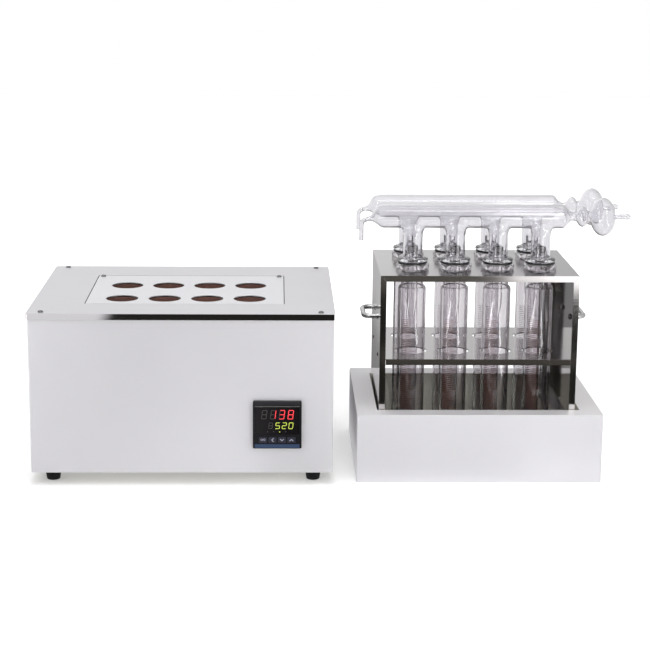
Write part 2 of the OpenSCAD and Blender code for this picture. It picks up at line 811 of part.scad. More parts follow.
module rack_frame() {
    low = rail_h;
    color("darkgray") on_bench() difference() {
        union() {
            translate([rack_x, rack_y + rack_d, 0]) rotate([90, 0, 0]) linear_extrude(rack_d)
                rack_strip(sheet, low);
            translate([rack_x, rack_y + sheet, 0]) rotate([90, 0, 0]) linear_extrude(sheet)
                rack_strip(front_flange, low);
            translate([rack_x, rack_y + rack_d, 0]) rotate([90, 0, 0]) linear_extrude(sheet)
                rack_back(low);
            for (x = [rack_x, rack_x + rack_w - foot_flange])
                translate([x, rack_y, low]) cube([foot_flange, rack_d, sheet]);
        }
        for (y = [front_row_y, back_row_y]) at_tubes(y) translate([0, 0, rack_top_z - sheet - cut])
            cylinder(d = top_hole_d, h = sheet + 2 * cut);
        for (x = [rack_x, rack_x + rack_w], y = handle_y) translate([x - 2 * sheet, y, handle_z])
            rotate([0, 90, 0]) cylinder(r = handle_screw_r + hole_play, h = 4 * sheet);
        for (x = [rack_x, rack_x + rack_w], y = rivet_y)
            translate([x - 2 * sheet, y, shelf_z - front_flange / 2]) rotate([0, 90, 0])
                cylinder(r = rivet_r + 0.05, h = 4 * sheet);
        mitre_kerf(rack_x, -45);
        mitre_kerf(rack_x + rack_w, 45);
    }
}

// Back flanges: wide on the side panels, as narrow as the front one along the top
module rack_back(low) {
    rack_strip(front_flange, low);
    for (x = [0, rack_w - back_flange]) translate([x, low]) square([back_flange, rack_top_z - low]);
}

// Line where the front flanges meet at an upper corner
module mitre_kerf(x, angle) {
    translate([x, rack_y - cut, rack_top_z]) rotate([0, angle, 0])
        translate([-kerf / 2, 0, -front_flange * 1.42]) cube([kerf, sheet * 0.4 + cut, front_flange * 1.42]);
}

module rack_shelf() {
    x0 = rack_x + sheet;
    w = rack_w - 2 * sheet;
    y0 = rack_y + sheet + shelf_fit;
    y1 = rack_y + rack_d - sheet - shelf_fit;
    lip_x = rack_x + front_flange + shelf_fit;
    color("darkgray") on_bench() difference() {
        union() {
            translate([x0, y0, shelf_z - sheet]) cube([w, y1 - y0, sheet]);
            translate([lip_x, rack_y, shelf_z - sheet])
                cube([rack_w - 2 * (lip_x - rack_x), y0 - rack_y + cut, sheet]);
            translate([lip_x, rack_y, shelf_z - front_flange])
                cube([rack_w - 2 * (lip_x - rack_x), sheet, front_flange]);
            for (x = [x0, x0 + w - sheet])
                translate([x, y0, shelf_z - front_flange]) cube([sheet, y1 - y0, front_flange]);
        }
        for (y = [front_row_y, back_row_y]) at_tubes(y) translate([0, 0, shelf_z - sheet - cut])
            cylinder(d = shelf_hole_d, h = sheet + 2 * cut);
        for (x = [rack_x, rack_x + rack_w], y = rivet_y)
            translate([x - 3 * sheet, y, shelf_z - front_flange / 2]) rotate([0, 90, 0])
                cylinder(r = rivet_r + 0.05, h = 6 * sheet);
    }
}

module rivet() {
    rotate_extrude() polygon([[0, -2 * sheet - 1], [rivet_r + 0.8, -2 * sheet - 1],
        [rivet_r + 0.8, -2 * sheet], [rivet_r, -2 * sheet], [rivet_r, 0], [rivet_head_r, 0],
        [rivet_head_r * 0.8, 0.7], [rivet_head_r * 0.4, 1.1], [0, 1.2]]);
}

module shelf_rivets() {
    color("silver") on_bench() for (y = rivet_y) {
        translate([rack_x, y, shelf_z - front_flange / 2]) rotate([0, -90, 0]) rivet();
        translate([rack_x + rack_w, y, shelf_z - front_flange / 2]) rotate([0, 90, 0]) rivet();
    }
}

// Bow handle in the XY plane, its legs ending on the panel at x = 0 and reaching to +X
module bow_handle() {
    run = handle_reach - handle_r - handle_corner_r;
    half = handle_pitch / 2;
    difference() {
        union() {
            for (s = [-1, 1]) {
                translate([0, s * half, 0]) rotate([0, 90, 0]) cylinder(r = handle_r, h = run);
                translate([0, s * half, 0]) rotate([0, 90, 0]) cylinder(r = handle_r + 1.5, h = 1.5);
            }
            translate([run + handle_corner_r, -half + handle_corner_r, 0]) rotate([-90, 0, 0])
                cylinder(r = handle_r, h = handle_pitch - 2 * handle_corner_r);
            translate([run, half - handle_corner_r, 0]) rotate_extrude(angle = 90)
                translate([handle_corner_r, 0]) circle(handle_r);
            translate([run, -half + handle_corner_r, 0]) rotate([0, 0, -90]) rotate_extrude(angle = 90)
                translate([handle_corner_r, 0]) circle(handle_r);
        }
        for (s = [-1, 1]) translate([-cut, s * half, 0]) rotate([0, 90, 0])
            cylinder(r = handle_screw_r + 0.05, h = handle_screw_in + cut);
    }
}

module handle_left() {
    color("silver") on_bench() translate([rack_x, rack_mid_y - handle_forward, handle_z])
        mirror([1, 0, 0]) bow_handle();
}

module handle_right() {
    color("silver") on_bench() translate([rack_x + rack_w, rack_mid_y - handle_forward, handle_z])
        bow_handle();
}

module handle_screws() {
    l = sheet + handle_screw_in - 1;
    color("dimgray") on_bench() for (y = handle_y) {
        translate([rack_x + sheet, y, handle_z]) rotate([0, 90, 0])
            pan_screw(handle_screw_r, handle_head_r, handle_head_h, l);
        translate([rack_x + rack_w - sheet, y, handle_z]) rotate([0, -90, 0])
            pan_screw(handle_screw_r, handle_head_r, handle_head_h, l);
    }
}

// ---- Glass ----

// Points along an arc or ellipse, from angle a0 to a1
function arc(cx, cy, rx, ry, a0, a1, n) =
    [for (i = [0 : n]) let (a = a0 + (a1 - a0) * i / n) [cx + rx * cos(a), cy + ry * sin(a)]];

// Digestion tube on its own axis: round bottom, rounded shoulder, neck and flared rim
module tube() {
    bottom = rim_top - tube_l;
    inner_r = tube_r - glass_wall;
    step = tube_r - neck_r;
    mouth_r = rim_d / 2 - 6;
    outer = concat(
        arc(0, bottom + tube_r, tube_r, tube_r, -90, 0, 10),
        arc(neck_r, shoulder_z, step, step * 2, 0, 80, 5),
        [[neck_r, shoulder_z + step * 2 + 1], [neck_r, rack_top_z - 5], [seat_r, rack_top_z - 0.4],
            [seat_r, rack_top_z], [rim_d / 2 - 2, rack_top_z]],
        arc(rim_d / 2 - 2, rack_top_z + rim_h / 2, 2, rim_h / 2, -80, 80, 5),
        [[rim_d / 2 - 3, rim_top], [mouth_r, rim_top]]);
    inner = concat(
        [[neck_r - glass_wall, rack_top_z - 1], [neck_r - glass_wall, shoulder_z + step * 2 - 1]],
        arc(neck_r - glass_wall, shoulder_z - 1, step, step * 2, 80, 0, 5),
        arc(0, bottom + tube_r, inner_r, inner_r, 0, -90, 10));
    rotate_extrude() polygon(concat(outer, inner));
}

module tube_at(i, row_y) {
    color("aliceblue", 0.5) on_bench() translate([tube_x + i * pitch_x, row_y, 0]) tube();
}

module front_tube_1() { tube_at(0, front_row_y); }
module front_tube_2() { tube_at(1, front_row_y); }
module front_tube_3() { tube_at(2, front_row_y); }
module front_tube_4() { tube_at(3, front_row_y); }
module back_tube_1() { tube_at(0, back_row_y); }
module back_tube_2() { tube_at(1, back_row_y); }
module back_tube_3() { tube_at(2, back_row_y); }
module back_tube_4() { tube_at(3, back_row_y); }

module gasket_row(row_y) {
    inner = gasket_d / 2 - 6;
    color("black") on_bench() at_tubes(row_y) translate([0, 0, rim_top]) rotate_extrude()
        polygon([[inner, 0], [gasket_d / 2 - 0.5, 0], [gasket_d / 2, 0.5],
            [gasket_d / 2, gasket_t - 0.5], [gasket_d / 2 - 0.5, gasket_t], [inner, gasket_t]]);
}

module front_gaskets() { gasket_row(front_row_y); }
module back_gaskets() { gasket_row(back_row_y); }

// Half outline of the main tube and bulbs as [along X, radius], t inside the outer surface
function bulb_line(t) = concat(
    [[main_x0 - 6 + t, 0], [main_x0 - 6 + t, main_r - 7 - t], [main_x0 - 3 + t, main_r - 2.5 - t],
        [main_x0 + t / 2, main_r - t], [main_x1 - 2, main_r - t], [main_x1, main_r - 1 - t],
        [neck_1 - 2, bulb_neck_r + 0.6 - t], [neck_1, bulb_neck_r - t], [neck_1 + 3, bulb_neck_r - t]],
    arc(bulb_1, 0, small_bulb_l / 2 - t / 2, small_bulb_r - t, 155, 48, 8),
    arc(bulb_2, 0, large_bulb_l / 2 - t / 2, large_bulb_r - t, 158, 9, 14));

function barb_line() = concat(
    [[barb_x, barb_r]],
    [for (i = [0 : barb_ribs - 1], p = [[0.05, 0], [0.15, 0.9], [0.5, 0.9], [0.95, 0]])
        [barb_x + 4 + (i + p[0]) * (barb_l - 6) / barb_ribs, barb_r + p[1]]],
    [[barb_tip, barb_r], [barb_tip, 0]]);

function bore_line() = [[barb_x, barb_bore_r], [barb_tip + cut, barb_bore_r], [barb_tip + cut, 0]];

// Funnel at the drain end as [distance from the main tube's end, radius]
function funnel_line(t) = [
    [-4, 0], [-4, main_r - 4 - t], [0, main_r - 1 - t], [3, main_r - 1.6 - t], [5.2, main_r - 3.2 - t],
    [7.8, main_r * 0.7 - t], [11.3, main_r * 0.47 - t], [funnel_l * 0.56, drain_r + 2.2 - t],
    [funnel_l * 0.68, drain_r + 0.8 - t], [funnel_l * 0.8, drain_r + 0.2 - t],
    [funnel_l, drain_r - t], [funnel_l, 0]];

// Solid of revolution about the X axis
module around_x(line) {
    rotate([90, 0, 90]) around_z(line);
}

// Solid of revolution about the Z axis, from points given as [along, radius]
module around_z(line) {
    rotate_extrude() polygon([for (p = line) [p[1], p[0]]]);
}

// Drain: tilted funnel, bend and straight end, t inside the outer surface
module drain(t, beyond) {
    translate([main_x0, 0, 0]) rotate([0, -90 - drain_tilt, 0]) around_z(funnel_line(t));
    translate([bend_x, 0, bend_z]) rotate([90, 0, 0]) rotate([0, 0, 90 + drain_tilt - lap])
        rotate_extrude(angle = 90 - drain_tilt + 2 * lap) translate([drain_bend_r, 0])
            circle(drain_r - t - lap_r);
    translate([bend_x - drain_bend_r, 0, bend_z - drain_l - beyond])
        cylinder(r = drain_r - t, h = drain_l + beyond);
}

// Leg with its flared joint below the main tube, t inside the outer surface
module leg(t) {
    bottom = flange_z - manifold_z;
    translate([0, 0, bottom - t]) cylinder(r = leg_r - t, h = -bottom + t);
    intersection() {
        translate([0, 0, flare_z]) cylinder(r1 = leg_r - t, r2 = leg_r + flare_w - t, h = flare_h);
        translate([-main_d, -leg_r + t, flare_z - cut])
            cube([2 * main_d, 2 * (leg_r - t), flare_h + 2 * cut]);
    }
}

module leg_flange() {
    r = leg_flange_d / 2;
    translate([0, 0, flange_z - manifold_z]) rotate_extrude()
        polygon([[0, 0], [r - 1, 0], [r, 1], [r, leg_flange_t - 1.5], [r - 1.5, leg_flange_t],
            [leg_r + 2, leg_flange_t], [leg_r - 0.5, leg_flange_t + 2.5], [0, leg_flange_t + 2.5]]);
}

// Drip tube and the ring that closes the leg round it
module drip_tube() {
    w = drip_wall;
    seal_r = leg_r - manifold_wall - drip_fit;
    translate([0, 0, flange_z - manifold_z]) rotate_extrude()
        polygon([[seal_r, 0], [drip_r + 3, -4], [drip_r, -9], [drip_r, -drip_l + 22],
            [drip_tip_r + 0.8, -drip_l + 4], [drip_tip_r, -drip_l], [drip_tip_r - w, -drip_l],
            [drip_tip_r + 0.8 - w, -drip_l + 4], [drip_r - w, -drip_l + 22], [drip_r - w, drip_up],
            [drip_r, drip_up], [drip_r, -4], [drip_r + 2.6, -2], [seal_r, 2]]);
}

module manifold() {
    difference() {
        union() {
            around_x(concat(bulb_line(0), barb_line()));
            drain(0, 0);
            at_legs() leg(0);
            at_legs() leg_flange();
        }
        around_x(concat(bulb_line(manifold_wall), bore_line()));
        drain(manifold_wall, cut);
        at_legs() leg(manifold_wall);
    }
}

module at_legs() {
    for (i = [0 : columns - 1]) translate([tube_x + i * pitch_x, 0, 0]) children();
}

module front_manifold() {
    color("aliceblue", 0.5) on_bench() translate([0, front_row_y, manifold_z]) manifold();
}

module back_manifold() {
    color("aliceblue", 0.5) on_bench() translate([0, back_row_y, manifold_z]) manifold();
}

module front_drip_tubes() {
    color("aliceblue", 0.5) on_bench() translate([0, front_row_y, manifold_z]) at_legs() drip_tube();
}

module back_drip_tubes() {
    color("aliceblue", 0.5) on_bench() translate([0, back_row_y, manifold_z]) at_legs() drip_tube();
}

case_shell();
base_plate();
base_screws();
feet();
foot_screws();
foot_nuts();
lid();
lid_screws();
insert_plate();
insert_screws();
block_case();
block_posts();
insulation();
well_liners();
band_heaters();
temperature_probe();
heat_sink();
relay();
terminal_block();
power_inlet();
switch_frame();
switch_rocker();
control_case();
control_clamp();
control_bezel();
control_window();
control_strip();
key_set();
key_shift();
key_down();
key_up();
tray_shell();
tray_floor();
rack_rails();
rack_frame();
rack_shelf();
shelf_rivets();
handle_left();
handle_right();
handle_screws();
front_tube_1();
front_tube_2();
front_tube_3();
front_tube_4();
back_tube_1();
back_tube_2();
back_tube_3();
back_tube_4();
front_gaskets();
back_gaskets();
front_manifold();
back_manifold();
front_drip_tubes();
back_drip_tubes();
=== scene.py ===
"""Studio scene of a block digester: a heater, and beside it a rack of glass tubes in a drip tray."""
import json
import math
import bpy
from mathutils import Matrix, Vector

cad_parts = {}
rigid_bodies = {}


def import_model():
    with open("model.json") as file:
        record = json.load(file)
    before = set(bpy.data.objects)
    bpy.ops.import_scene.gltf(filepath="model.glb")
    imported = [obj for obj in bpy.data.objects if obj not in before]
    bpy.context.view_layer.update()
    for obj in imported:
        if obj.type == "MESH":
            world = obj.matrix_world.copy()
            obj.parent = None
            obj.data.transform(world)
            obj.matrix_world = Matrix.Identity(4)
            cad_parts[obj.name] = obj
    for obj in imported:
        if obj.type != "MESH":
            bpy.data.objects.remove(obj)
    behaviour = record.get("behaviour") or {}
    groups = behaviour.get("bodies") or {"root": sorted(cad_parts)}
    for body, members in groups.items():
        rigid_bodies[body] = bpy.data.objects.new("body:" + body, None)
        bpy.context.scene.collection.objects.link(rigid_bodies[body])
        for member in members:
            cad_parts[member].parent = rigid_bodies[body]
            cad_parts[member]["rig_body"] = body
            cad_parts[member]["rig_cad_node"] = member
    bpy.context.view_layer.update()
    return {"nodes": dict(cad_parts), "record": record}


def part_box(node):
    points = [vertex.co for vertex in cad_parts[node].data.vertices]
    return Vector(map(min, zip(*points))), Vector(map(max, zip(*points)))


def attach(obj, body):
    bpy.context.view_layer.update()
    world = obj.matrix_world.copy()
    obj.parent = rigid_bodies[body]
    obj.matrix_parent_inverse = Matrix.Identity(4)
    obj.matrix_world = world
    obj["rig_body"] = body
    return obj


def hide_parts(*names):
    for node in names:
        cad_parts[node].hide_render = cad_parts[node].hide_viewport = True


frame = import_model()
nodes = frame["nodes"]
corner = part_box("lid")[0]

# Places and sizes of the object in millimetres, from the lid's left front corner at bench level
TUBE_X = [570.75 + 64.5 * i for i in range(4)]
ROWS = {"front": 99.0, "back": 197.0}
ROW_STEP = ROWS["back"] - ROWS["front"]
MANIFOLD_Z = 390.0
MAIN_START, MAIN_END = TUBE_X[0] - 48, TUBE_X[3] + 34
CONTROL_X, CONTROL_FACE_Y = 367.0, -6.0
KEYS = ("key_set", "key_shift", "key_down", "key_up")

# Turns of a round piece that is made upright
ALONG_X = (0, math.pi / 2, 0)
FORWARD = (math.pi / 2, 0, 0)


def at(x, y, z):
    """A place in metres in the row frame."""
    return Vector((corner.x + x / 1000, corner.y + y / 1000, z / 1000))


# ---------- Camera and lamps ----------

# Camera fitted to the photo: sensor in millimetres, focal length in pixels of the photo, turn in
# radians
SENSOR, PHOTO_WIDTH, FOCAL_LENGTH = 36, 650, 1701
CAMERA_PLACE = (366.4, -2422.5, 800.6)
PAN, TILT, ROLL = -0.0289, -0.2256, -0.0089

# Name, place, aim, size in metres and power in watts
LAMPS = [
    ("top_softbox", (-0.4, -0.6, 3.0), (0, 0, 0.1), (3.0, 3.0), 23),
    ("left_strip", (-2.2, -2.6, 1.6), (0.25, 0, 0.25), (0.16, 2.4), 12),
    ("right_strip", (1.9, -2.4, 1.5), (0.25, 0, 0.25), (0.12, 2.0), 9),
]
RACK_FILL = ("rack_fill", (0.22, -1.3, 0.5), (0.22, 0.05, 0.06), (0.5, 0.3), 0.68)
FILL_SPREAD = 50


def set_camera():
    """Camera at the photo's place, looking the same way."""
    data = bpy.data.cameras.new("photo_camera")
    camera = bpy.data.objects.new("photo_camera", data)
    bpy.context.scene.collection.objects.link(camera)
    data.sensor_width = SENSOR
    data.lens = SENSOR * FOCAL_LENGTH / PHOTO_WIDTH
    data.clip_end = 50
    turn = (Matrix.Rotation(PAN, 3, "Z") @ Matrix.Rotation(TILT, 3, "X")
            @ Matrix.Rotation(ROLL, 3, "Y"))
    right, forward, up = (turn.col[i] for i in range(3))
    facing = Matrix((right, up, -forward)).transposed()
    camera.matrix_world = Matrix.Translation(at(*CAMERA_PLACE)) @ facing.to_4x4()
    bpy.context.scene.camera = camera


def soft_lamp(name, place, aim, size, power):
    """Rectangular lamp that looks at its aim."""
    data = bpy.data.lights.new(name, "AREA")
    data.shape = "RECTANGLE"
    data.size, data.size_y = size
    data.energy = power
    lamp = bpy.data.objects.new(name, data)
    lamp.location = place
    lamp.rotation_euler = (Vector(aim) - Vector(place)).to_track_quat("-Z", "Y").to_euler()
    bpy.context.scene.collection.objects.link(lamp)
    return lamp


def set_lamps():
    """Soft lamps, and a narrow one for the tray's recess that mirrors and glass don't show."""
    for lamp in LAMPS:
        soft_lamp(*lamp)
    fill = soft_lamp(*RACK_FILL)
    fill.data.spread = math.radians(FILL_SPREAD)
    fill.visible_glossy = False
    fill.visible_transmission = False


# ---------- Shader nodes ----------

class Graph:
    """Shader nodes of a material or a world. Most calls add nodes and return one of their
    outputs."""

    def __init__(self, owner):
        owner.use_nodes = True
        self.nodes = owner.node_tree.nodes
        self.links = owner.node_tree.links

    def feed(self, node, inputs):
        """Links each input to an output, or sets its value."""
        for key, source in inputs.items():
            if isinstance(source, bpy.types.NodeSocket):
                self.links.new(source, node.inputs[key])
            else:
                node.inputs[key].default_value = source

    def add(self, kind, inputs=None, output=0):
        """Adds a node with its inputs and returns the output of this name or number."""
        node = self.nodes.new("ShaderNode" + kind)
        self.feed(node, inputs or {})
        return node.outputs[output]

    def place(self, kind):
        """X, Y and Z of a texture coordinate."""
        split = self.nodes.new("ShaderNodeSeparateXYZ")
        self.feed(split, {0: self.add("TexCoord", output=kind)})
        return split.outputs

    def math(self, operation, *sources):
        node = self.nodes.new("ShaderNodeMath")
        node.operation = operation
        self.feed(node, dict(enumerate(sources)))
        return node.outputs[0]

    def ramp(self, source, low, high):
        """0 below low, 1 above high."""
        return self.add("MapRange", {"From Min": low, "From Max": high, "Value": source})

    def spread(self, source, low, high):
        """From low to high while the source goes from 0 to 1."""
        return self.add("MapRange", {"To Min": low, "To Max": high, "Value": source})

    def noise(self, place, scale, detail=2):
        return self.add("TexNoise", {"Vector": place, "Scale": scale, "Detail": detail}, "Fac")

    def blend(self, factor, first, second):
        """Colour between two colours."""
        node = self.nodes.new("ShaderNodeMix")
        node.data_type = "RGBA"
        self.feed(node, {"A": (*first, 1), "B": (*second, 1), "Factor": factor})
        return node.outputs["Result"]

    def choose(self, factor, first, second):
        """The first shader where factor is 0, the second where it is 1."""
        return self.add("MixShader", {"Fac": factor, 1: first, 2: second})

    def band(self, source, low, high, soft):
        """1 between low and high, fading to 0 outside."""
        rise = self.ramp(source, low - soft, low + soft)
        fall = self.ramp(source, high + soft, high - soft)
        return self.math("MULTIPLY", rise, fall)

    def cards(self, operation, first, second, cards):
        """Rectangles given as (side, side, weight), each side as (low, high, soft edge). ADD sums
        their weights, and MAXIMUM takes the highest one."""
        result = 0
        for first_side, second_side, weight in cards:
            shape = self.math("MULTIPLY", self.band(first, *first_side),
                              self.band(second, *second_side))
            result = self.math(operation, result, self.math("MULTIPLY", shape, weight))
        return result


# ---------- Studio ----------
# The cards show only to rays that a mirror has turned at least once, which Light Path counts as
# Glossy Depth. A straight look through the glass meets plain white.

WHITE = (1, 1, 1, 1)
DIFFUSE_SKY = 0.72

# Cards in front of the object, by the X and Z of their direction, and what they add to the white
SKY_CARDS = [
    ((0.125, 0.34, 0.01), (0.3, 0.72, 0.02), 5),          # broad window
    ((-0.4, 0.4, 0.05), (0.84, 0.9, 0.01), 5),            # narrow window above it
    ((-0.38, 0.135, 0.015), (-0.3, 0.3, 0.04), -0.95),    # dark card low on the left
    ((0.155, 0.5, 0.01), (-0.3, 0.2, 0.02), 1.2),         # bright card low on the right
]

# Cards on the floor, by X and Y in metres
DARK_CARDS = [
    ((-0.45, 0.06, 0.015), (-3.2, -0.62, 0.12), 1),       # before the heater
    ((-0.1, 0.5, 0.04), (-3.2, -0.32, 0.06), 1),          # before the rack
    ((-0.1, 0.64, 0.03), (-1.5, -0.32, 0.1), 1),          # wider part of it, nearer
    ((0.0, 0.6, 0.015), (0.25, 3.2, 0.06), 0.78),         # behind the rack
    ((-0.3, 0.0, 0.015), (0.25, 3.2, 0.06), 0.45),        # behind the heater
    ((-0.1, 0.3, 0.03), (-0.4, -0.2, 0.02), 1),           # close to the tray
]
BRIGHT_CARDS = [
    ((-0.95, -0.72, 0.01), (-1.6, -0.3, 0.02), 6),        # bar on the left
    ((0.72, 0.92, 0.01), (-1.6, -0.3, 0.02), 6),          # bar on the right
    ((0.55, 1.3, 0.03), (-3.0, -1.56, 0.03), 1.8),        # right front corner
]
PALE_CARDS = [
    ((-0.1, 0.5, 0.04), (-3.2, -1.52, 0.04), 5.5),        # far part of the card before the rack
    ((0.12, 0.5, 0.01), (-0.96, -0.82, 0.03), 4.4),       # strip that the shelf mirrors
]
CARD_WHITE, CARD_BLACK = (0.95, 0.94, 0.95), (0.022, 0.0205, 0.018)

# Painted shadow: floor under the heater and under the tray, and how much less it glows there
FLOOR_SHADOW_PAINT = [
    ((-0.45, 0.003, 0.004), (-0.185, 0.185, 0.004), 0.14),
    ((0.037, 0.405, 0.004), (-0.175, 0.113, 0.004), 0.14),
]
FLOOR_GLOW, FAR_GLOW = 0.36, 0.5
DIM_BEHIND = -0.3


def studio_world():
    """White all round, with cards in front and a dimmer part behind on the right for mirrors."""
    world = bpy.data.worlds.new("studio")
    bpy.context.scene.world = world
    graph = Graph(world)
    sky = graph.nodes["Background"]
    graph.feed(sky, {"Color": WHITE, "Strength": DIFFUSE_SKY})
    x, y, z = graph.place("Generated")
    path = graph.nodes.new("ShaderNodeLightPath").outputs
    mirrored = graph.math("MINIMUM", path["Glossy Depth"], 1)
    in_front = graph.ramp(y, 0.0, -0.05)
    behind = graph.math("MULTIPLY", graph.ramp(y, 0.3, 0.5), graph.ramp(x, 0.04, 0.17))
    change = graph.math("MULTIPLY", graph.cards("ADD", x, z, SKY_CARDS), in_front)
    change = graph.math("MULTIPLY_ADD", behind, DIM_BEHIND, change)
    strength = graph.math("MULTIPLY_ADD", change, mirrored, 1)
    seen = graph.add("Background", {"Color": WHITE, "Strength": strength})
    sharp = graph.math("MAXIMUM", path["Is Camera Ray"], path["Is Glossy Ray"])
    sharp = graph.math("MAXIMUM", sharp, path["Is Transmission Ray"])
    shown = graph.choose(sharp, sky.outputs[0], seen)
    graph.feed(graph.nodes["World Output"], {"Surface": shown})


def floor_material():
    """White paper that glows a little, less under the units as a painted shadow, and more far behind
    them.
    """
    made = bpy.data.materials.new("white_paper")
    graph = Graph(made)
    paper = graph.nodes["Principled BSDF"]
    graph.feed(paper, {"Base Color": (0.8, 0.8, 0.8, 1), "Roughness": 0.9})
    x, y, _ = graph.place("Object")
    far = graph.math("MULTIPLY", graph.ramp(y, 0.35, 1.2), FAR_GLOW)
    # Painted shadow: the glow drops under the heater and the tray
    near = graph.math("SUBTRACT", FLOOR_GLOW, graph.cards("MAXIMUM", x, y, FLOOR_SHADOW_PAINT))
    glow = graph.add("Emission", {"Strength": graph.math("ADD", far, near)})
    shown = graph.add("AddShader", {0: paper.outputs[0], 1: glow})
    bright = graph.math("ADD", graph.cards("MAXIMUM", x, y, BRIGHT_CARDS),
                        graph.cards("MAXIMUM", x, y, PALE_CARDS))
    dark = graph.cards("MAXIMUM", x, y, DARK_CARDS)
    mirrored = graph.add("Emission", {"Color": graph.blend(dark, CARD_WHITE, CARD_BLACK),
                                      "Strength": graph.math("ADD", bright, 1)})
    path = graph.nodes.new("ShaderNodeLightPath").outputs
    turned_once = graph.math("MINIMUM", path["Glossy Depth"], 1)
    behind_glass = graph.choose(turned_once, graph.add("Emission"), mirrored)
    seen = graph.choose(path["Is Glossy Ray"], shown, behind_glass)
    graph.feed(graph.nodes["Material Output"], {"Surface": seen})
    return made


def lay_floor():
    """Wide floor for the studio, which is no part of the object."""
    bpy.ops.object.select_all(action="DESELECT")
    bpy.ops.mesh.primitive_plane_add(size=12, location=(0, 0, 0))
    floor = bpy.context.object
    floor.name = "floor"
    floor.data.materials.append(floor_material())


# ---------- Finishes ----------

def shade(name, color, rough, metal=0.0, grain=(900, 900, 900), grain_rough=0.06, grain_bump=0.0,
          mottle=0.04, ior=1.5):
    """Finish with a slightly uneven colour and gloss. grain is the scale of its fine streaks along
    X, Y and Z."""
    made = bpy.data.materials.new(name)
    graph = Graph(made)
    place = graph.add("TexCoord", output="Object")
    tint = graph.blend(graph.noise(place, 9, 4), [c * (1 - mottle) for c in color],
                       [min(1, c * (1 + mottle)) for c in color])
    streak = graph.noise(graph.add("Mapping", {"Scale": grain, "Vector": place}), 1, 3)
    gloss = graph.spread(streak, max(0.02, rough - grain_rough), rough + grain_rough)
    body = graph.nodes["Principled BSDF"]
    graph.feed(body, {"Metallic": metal, "IOR": ior, "Base Color": tint, "Roughness": gloss})
    if grain_bump:
        bump = graph.add("Bump", {"Strength": grain_bump, "Distance": 0.0002, "Height": streak})
        graph.feed(body, {"Normal": bump})
    return made


def clear_glass(name, color, passed, density, ior=1.47):
    """Glass tinted at each wall, which darkens further with the length of the way through it."""
    made = bpy.data.materials.new(name)
    graph = Graph(made)
    cloud = graph.noise(graph.add("TexCoord", output="Object"), 30)
    tint = graph.blend(cloud, [c * 0.98 for c in color], color)
    graph.feed(graph.nodes["Principled BSDF"], {
        "Transmission Weight": 1, "IOR": ior, "Base Color": tint,
        "Roughness": graph.spread(cloud, 0.0, 0.03)})
    depth = graph.add("VolumeAbsorption", {"Color": (*passed, 1), "Density": density})
    graph.feed(graph.nodes["Material Output"], {"Volume": depth})
    return made


def lit(name, color, strength):
    """Lit part of the display."""
    made = shade(name, color, 0.4)
    body = made.node_tree.nodes["Principled BSDF"]
    body.inputs["Emission Color"].default_value = (*color, 1)
    body.inputs["Emission Strength"].default_value = strength
    return made


# Brushing along X, plain on the satin sheets and faint on the polished ones
SATIN = {"grain": (3, 600, 600), "grain_rough": 0.05, "grain_bump": 0.05}
POLISHED = {"grain": (4, 500, 500), "grain_rough": 0.03, "grain_bump": 0.02}

FINISH = {
    "case_steel": shade("satin_case_steel", (0.622, 0.612, 0.637), 0.42, 0.35, **SATIN),
    "insert_steel": shade("satin_insert_steel", (0.715, 0.715, 0.74), 0.4, 0.5, **SATIN),
    "inner_steel": shade("mill_steel", (0.44, 0.43, 0.38), 0.38, 0.6, (300, 300, 4), 0.06, 0.05),
    "rack_steel": shade("polished_rack_steel", (0.52, 0.505, 0.5), 0.09, 1.0, **POLISHED),
    "handle_chrome": shade("polished_handle", (0.43, 0.43, 0.43), 0.06, 1.0),
    "screw_steel": shade("plain_screw_steel", (0.14, 0.137, 0.137), 0.3, 1.0, mottle=0.15),
    "foot_rubber": shade("foot_rubber", (0.006, 0.006, 0.0065), 0.7, ior=1.25, mottle=0.3,
                         grain_bump=0.2),
    "gasket_rubber": shade("gasket_rubber", (0.008, 0.008, 0.009), 0.45, mottle=0.3),
    "insulation_fibre": shade("fibre_board", (0.7, 0.67, 0.6), 0.9, mottle=0.15, grain_bump=0.5),
    "liner_ceramic": shade("fired_ceramic", (0.15, 0.068, 0.052), 0.55, mottle=0.25,
                           grain_bump=0.2),
    "heater_brass": shade("heater_brass", (0.5, 0.33, 0.15), 0.35, 1.0, mottle=0.1),
    "probe_steel": shade("probe_steel", (0.5, 0.5, 0.5), 0.3, 1.0),
    "sink_aluminium": shade("sink_aluminium", (0.55, 0.55, 0.56), 0.35, 1.0, (400, 6, 400)),
    "electric_plastic": shade("electric_plastic", (0.6, 0.58, 0.52), 0.5),
    "switch_plastic": shade("switch_plastic", (0.018, 0.018, 0.02), 0.4, grain_bump=0.1,
                            mottle=0.2),
    "control_plastic": shade("control_plastic", (0.03, 0.03, 0.032), 0.5, grain_bump=0.1),
    "bezel_plastic": shade("bezel_plastic", (0.006, 0.006, 0.008), 0.4, grain_bump=0.08,
                           mottle=0.2, ior=1.3),
    "window_plastic": shade("display_window", (0.007, 0.006, 0.007), 0.12, mottle=0.2, ior=1.32),
    "strip_plastic": shade("blue_strip", (0.028, 0.05, 0.105), 0.45, ior=1.3),
    "key_plastic": shade("key_pad", (0.026, 0.027, 0.042), 0.5, mottle=0.1, grain_bump=0.1,
                         ior=1.3),
    "tube_glass": clear_glass("tube_glass", (0.856, 0.84, 0.858), (0.4, 0.36, 0.42), 5),
    "manifold_glass": clear_glass("manifold_glass", (0.892, 0.886, 0.906), (0.4, 0.37, 0.45), 5),
}
DRIP_GLASS = clear_glass("drip_glass", (1, 1, 1), (0.6, 0.6, 0.6), 2, ior=1.2)
# Painted shade: near black for the gap round the insert plate and the walls of the shelf holes
GAP_SHADE_PAINT = shade("painted_gap_shade", (0.03, 0.03, 0.03), 0.6, ior=1.3)
